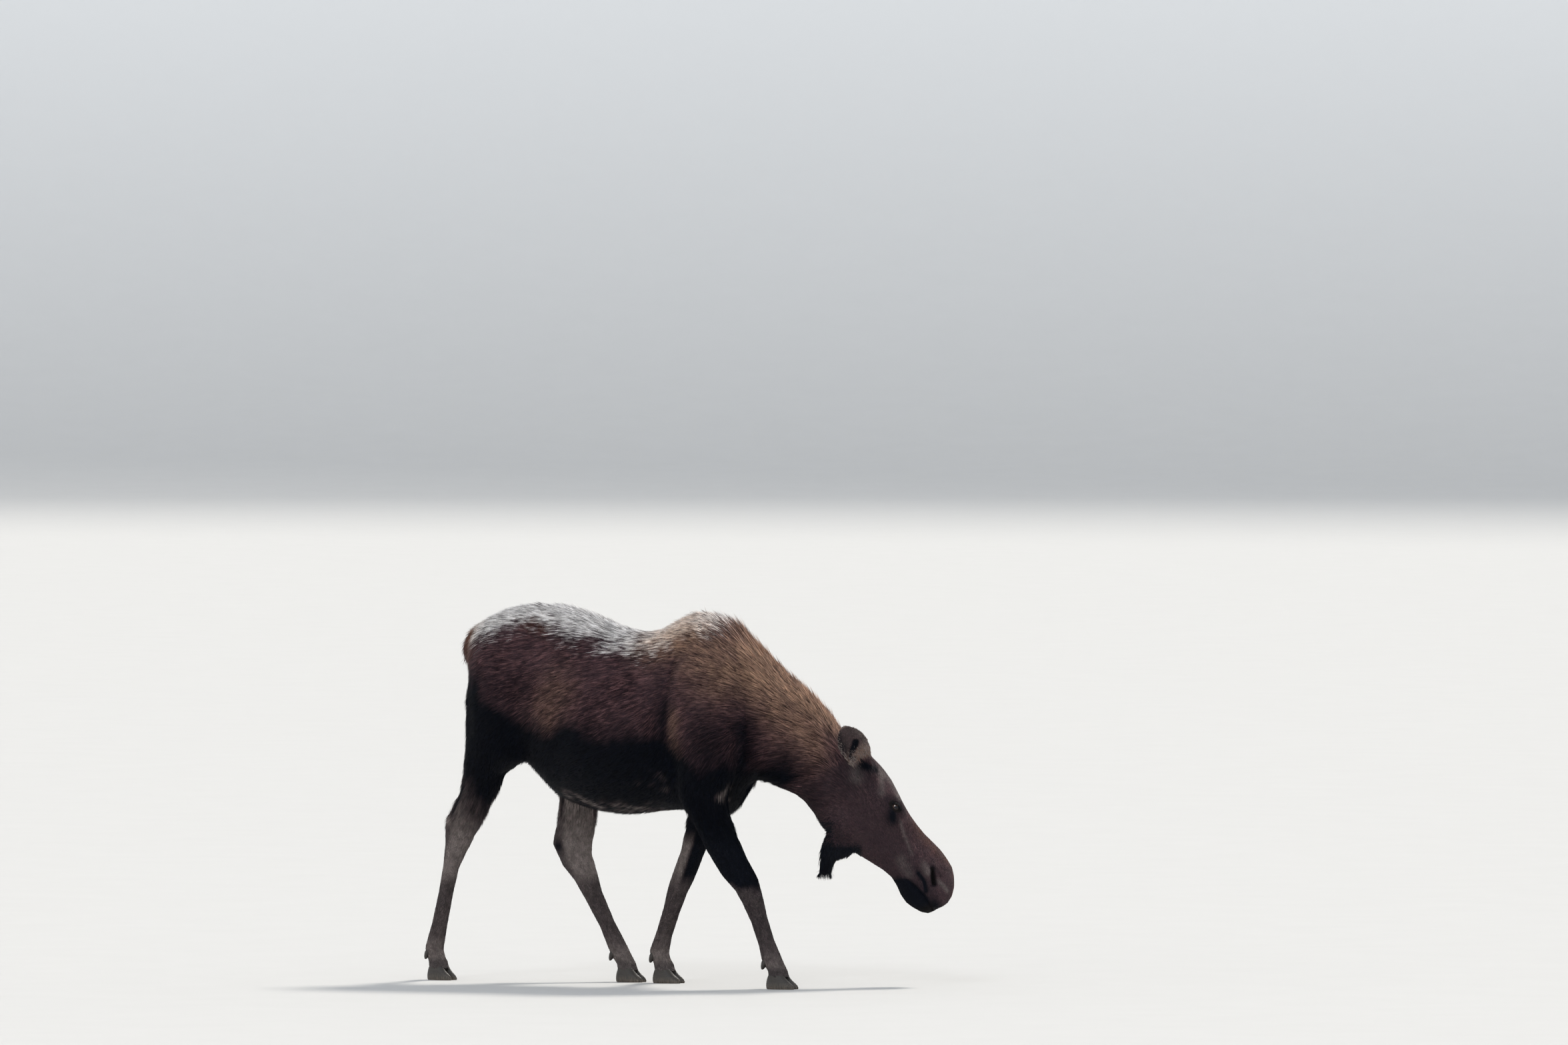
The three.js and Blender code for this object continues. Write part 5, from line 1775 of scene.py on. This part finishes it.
def horn_material(colours):
    """Dark horn with growth rings, streaks and a little dust near the floor."""
    material, shader, net = new_material("dark_horn")
    place = net.place()
    rings = net.add("ShaderNodeTexWave", [
        ("Vector", place), ("Scale", 42.0), ("Distortion", 2.2), ("Detail", 2.0),
        ("Detail Scale", 1.5)], bands_direction="Z").outputs["Fac"]
    streaks = net.noise(net.vector("MULTIPLY", place, (1, 1, 0.12)), 320.0, 3.0, 0.6)
    colour = net.mix(net.limits(streaks, 0.3, 0.7), colours.horn,
                     tinted(colours.horn, 2.2, 2.2, 2.2))
    dust = net.times(net.limits(net.parts(place)["Z"], 0.03, 0.0),
                     net.limits(streaks, 0.35, 0.6))
    colour = net.mix(net.times(dust, 0.7), colour, (0.16, 0.13, 0.10))
    relief = net.math("ADD", net.times(rings, 0.6), streaks)
    bump = net.add("ShaderNodeBump", [
        ("Strength", 0.4), ("Distance", 0.0015), ("Height", relief)])
    net.feed(shader, [("Base Color", colour), ("Normal", bump.outputs["Normal"]),
                      ("Roughness", net.limits(streaks, 0.2, 0.8, 0.38, 0.62))])
    return material


# ---- stage -----------------------------------------------------------------------
class MOOSE_OT_stage(bpy.types.Operator):
    """Set up the camera, the pale floor and the soft light"""

    bl_idname = "moose.stage"
    bl_label = "Stage"

    def execute(self, context):
        stage = context.scene.moose_stage
        back = direction_to(stage.azimuth, stage.elevation)
        right = Vector((math.cos(stage.azimuth), math.sin(stage.azimuth), 0))
        data = bpy.data.cameras.new("camera")
        camera = bpy.data.objects.new("camera", data)
        context.scene.collection.objects.link(camera)
        camera.location = right * stage.aim_right + Vector((0, 0, stage.aim_height))
        camera.location += back * stage.distance
        camera.rotation_euler = (-back).to_track_quat("-Z", "Y").to_euler()
        data.sensor_width = 36.0
        data.lens = 36.0 * stage.distance / stage.picture_width
        data.clip_end = 400.0
        context.scene.camera = camera

        new_object("floor", bowl_mesh())
        context.scene.world = pale_world()
        context.scene.view_settings.view_transform = "Standard"
        # name, energy, angle, azimuth, elevation, colour, and what the light falls on
        for name, energy, angle, around, height, colour, lit in (
            ("overhead", 2.6, 12, 168, 54, (1.0, 0.95, 0.87), None),
            ("front_fill", 0.35, 12, 10, 40, (0.90, 0.95, 1.0), None),
            ("catch_light", 12.0, 22, 14, 38, (1.0, 1.0, 1.0), catch_group()),
        ):
            lamp = bpy.data.lights.new(name, "SUN")
            lamp.energy = energy
            lamp.angle = math.radians(angle)
            lamp.color = colour
            made = bpy.data.objects.new(name, lamp)
            made.light_linking.receiver_collection = lit
            context.scene.collection.objects.link(made)
            way = direction_to(math.radians(around), math.radians(height))
            made.location = way * 12
            made.rotation_euler = way.to_track_quat("Z", "Y").to_euler()
        return {"FINISHED"}


def direction_to(azimuth, elevation):
    """The way to something that stands round the animal, from its right side on."""
    level = math.cos(elevation)
    return Vector((math.sin(azimuth) * level, -math.cos(azimuth) * level, math.sin(elevation)))


def bowl_mesh(radius=108.0, rise=26.0, sides=160):
    """A round floor whose rim curves up into a wall."""
    flat = radius - rise
    rows = [(flat * k / 4, 0.0) for k in range(1, 5)]
    for turn in np.radians(np.arange(7.5, 97, 7.5)):
        rows.append((flat + rise * math.sin(turn), rise * (1 - math.cos(turn))))
    rows.append((radius, rise * 2))
    angles = np.arange(sides) * 2 * math.pi / sides
    points = [(r * math.cos(u), r * math.sin(u), z) for r, z in rows for u in angles]
    mesh = bpy.data.meshes.new("floor")
    mesh.from_pydata([*points, (0, 0, 0)], [],
                     fan_faces(0, sides, len(points)) + [
                         face[::-1] for face in ring_faces(len(rows), sides)])
    mesh.shade_smooth()
    mesh.materials.append(floor_material())
    return mesh


def floor_material():
    """A pale floor, paler still where it curves up."""
    material, shader, net = new_material("pale_floor")
    place = net.place()
    tone = net.noise(place, 3.0, 4.0, 0.6)
    colour = net.mix(tone, (0.57, 0.565, 0.555), (0.60, 0.595, 0.585))
    rising = net.limits(net.parts(place)["Z"], 0.0, 5.0)
    net.feed(shader, [("Base Color", net.mix(rising, colour, (0.93, 0.93, 0.92))),
                      ("Roughness", 0.9)])
    return material


def pale_world():
    """Even light from all sides."""
    world = bpy.data.worlds.new("studio")
    world.use_nodes = True
    sky = world.node_tree.nodes["Background"]
    sky.inputs["Color"].default_value = (0.88, 0.93, 1.0, 1.0)
    sky.inputs["Strength"].default_value = 0.74
    return world


# ---- panel and run -----------------------------------------------------------------
OPERATORS = [
    MOOSE_OT_stage, MOOSE_OT_skin, MOOSE_OT_eyes, MOOSE_OT_hooves, MOOSE_OT_short_coat,
    MOOSE_OT_long_hair,
]
SETTINGS = {
    "moose_skin": MooseSkinSettings, "moose_coat": MooseCoatSettings,
    "moose_colours": MooseColourSettings, "moose_stage": MooseStageSettings,
}


class MOOSE_PT_sidebar(bpy.types.Panel):
    """The pieces of the moose and their settings"""

    bl_idname = "MOOSE_PT_sidebar"
    bl_label = "Cow Moose"
    bl_space_type = "VIEW_3D"
    bl_region_type = "UI"
    bl_category = "Moose"

    def draw(self, context):
        for kind in OPERATORS:
            self.layout.operator(kind.bl_idname)
        for name, kind in SETTINGS.items():
            box = self.layout.box()
            box.label(text=kind.__doc__)
            for label in kind.__annotations__:
                box.prop(getattr(context.scene, name), label)


CLASSES = [*SETTINGS.values(), *OPERATORS, MOOSE_PT_sidebar]


def register():
    for kind in CLASSES:
        bpy.utils.register_class(kind)
    for name, kind in SETTINGS.items():
        setattr(bpy.types.Scene, name, PointerProperty(type=kind))


def unregister():
    for name in SETTINGS:
        delattr(bpy.types.Scene, name)
    for kind in reversed(CLASSES):
        bpy.utils.unregister_class(kind)


def main():
    register()
    bpy.ops.moose.stage()
    bpy.ops.moose.skin()
    bpy.ops.moose.eyes()
    bpy.ops.moose.hooves()
    bpy.ops.moose.short_coat()
    bpy.ops.moose.long_hair()


if __name__ == "__main__":
    main()
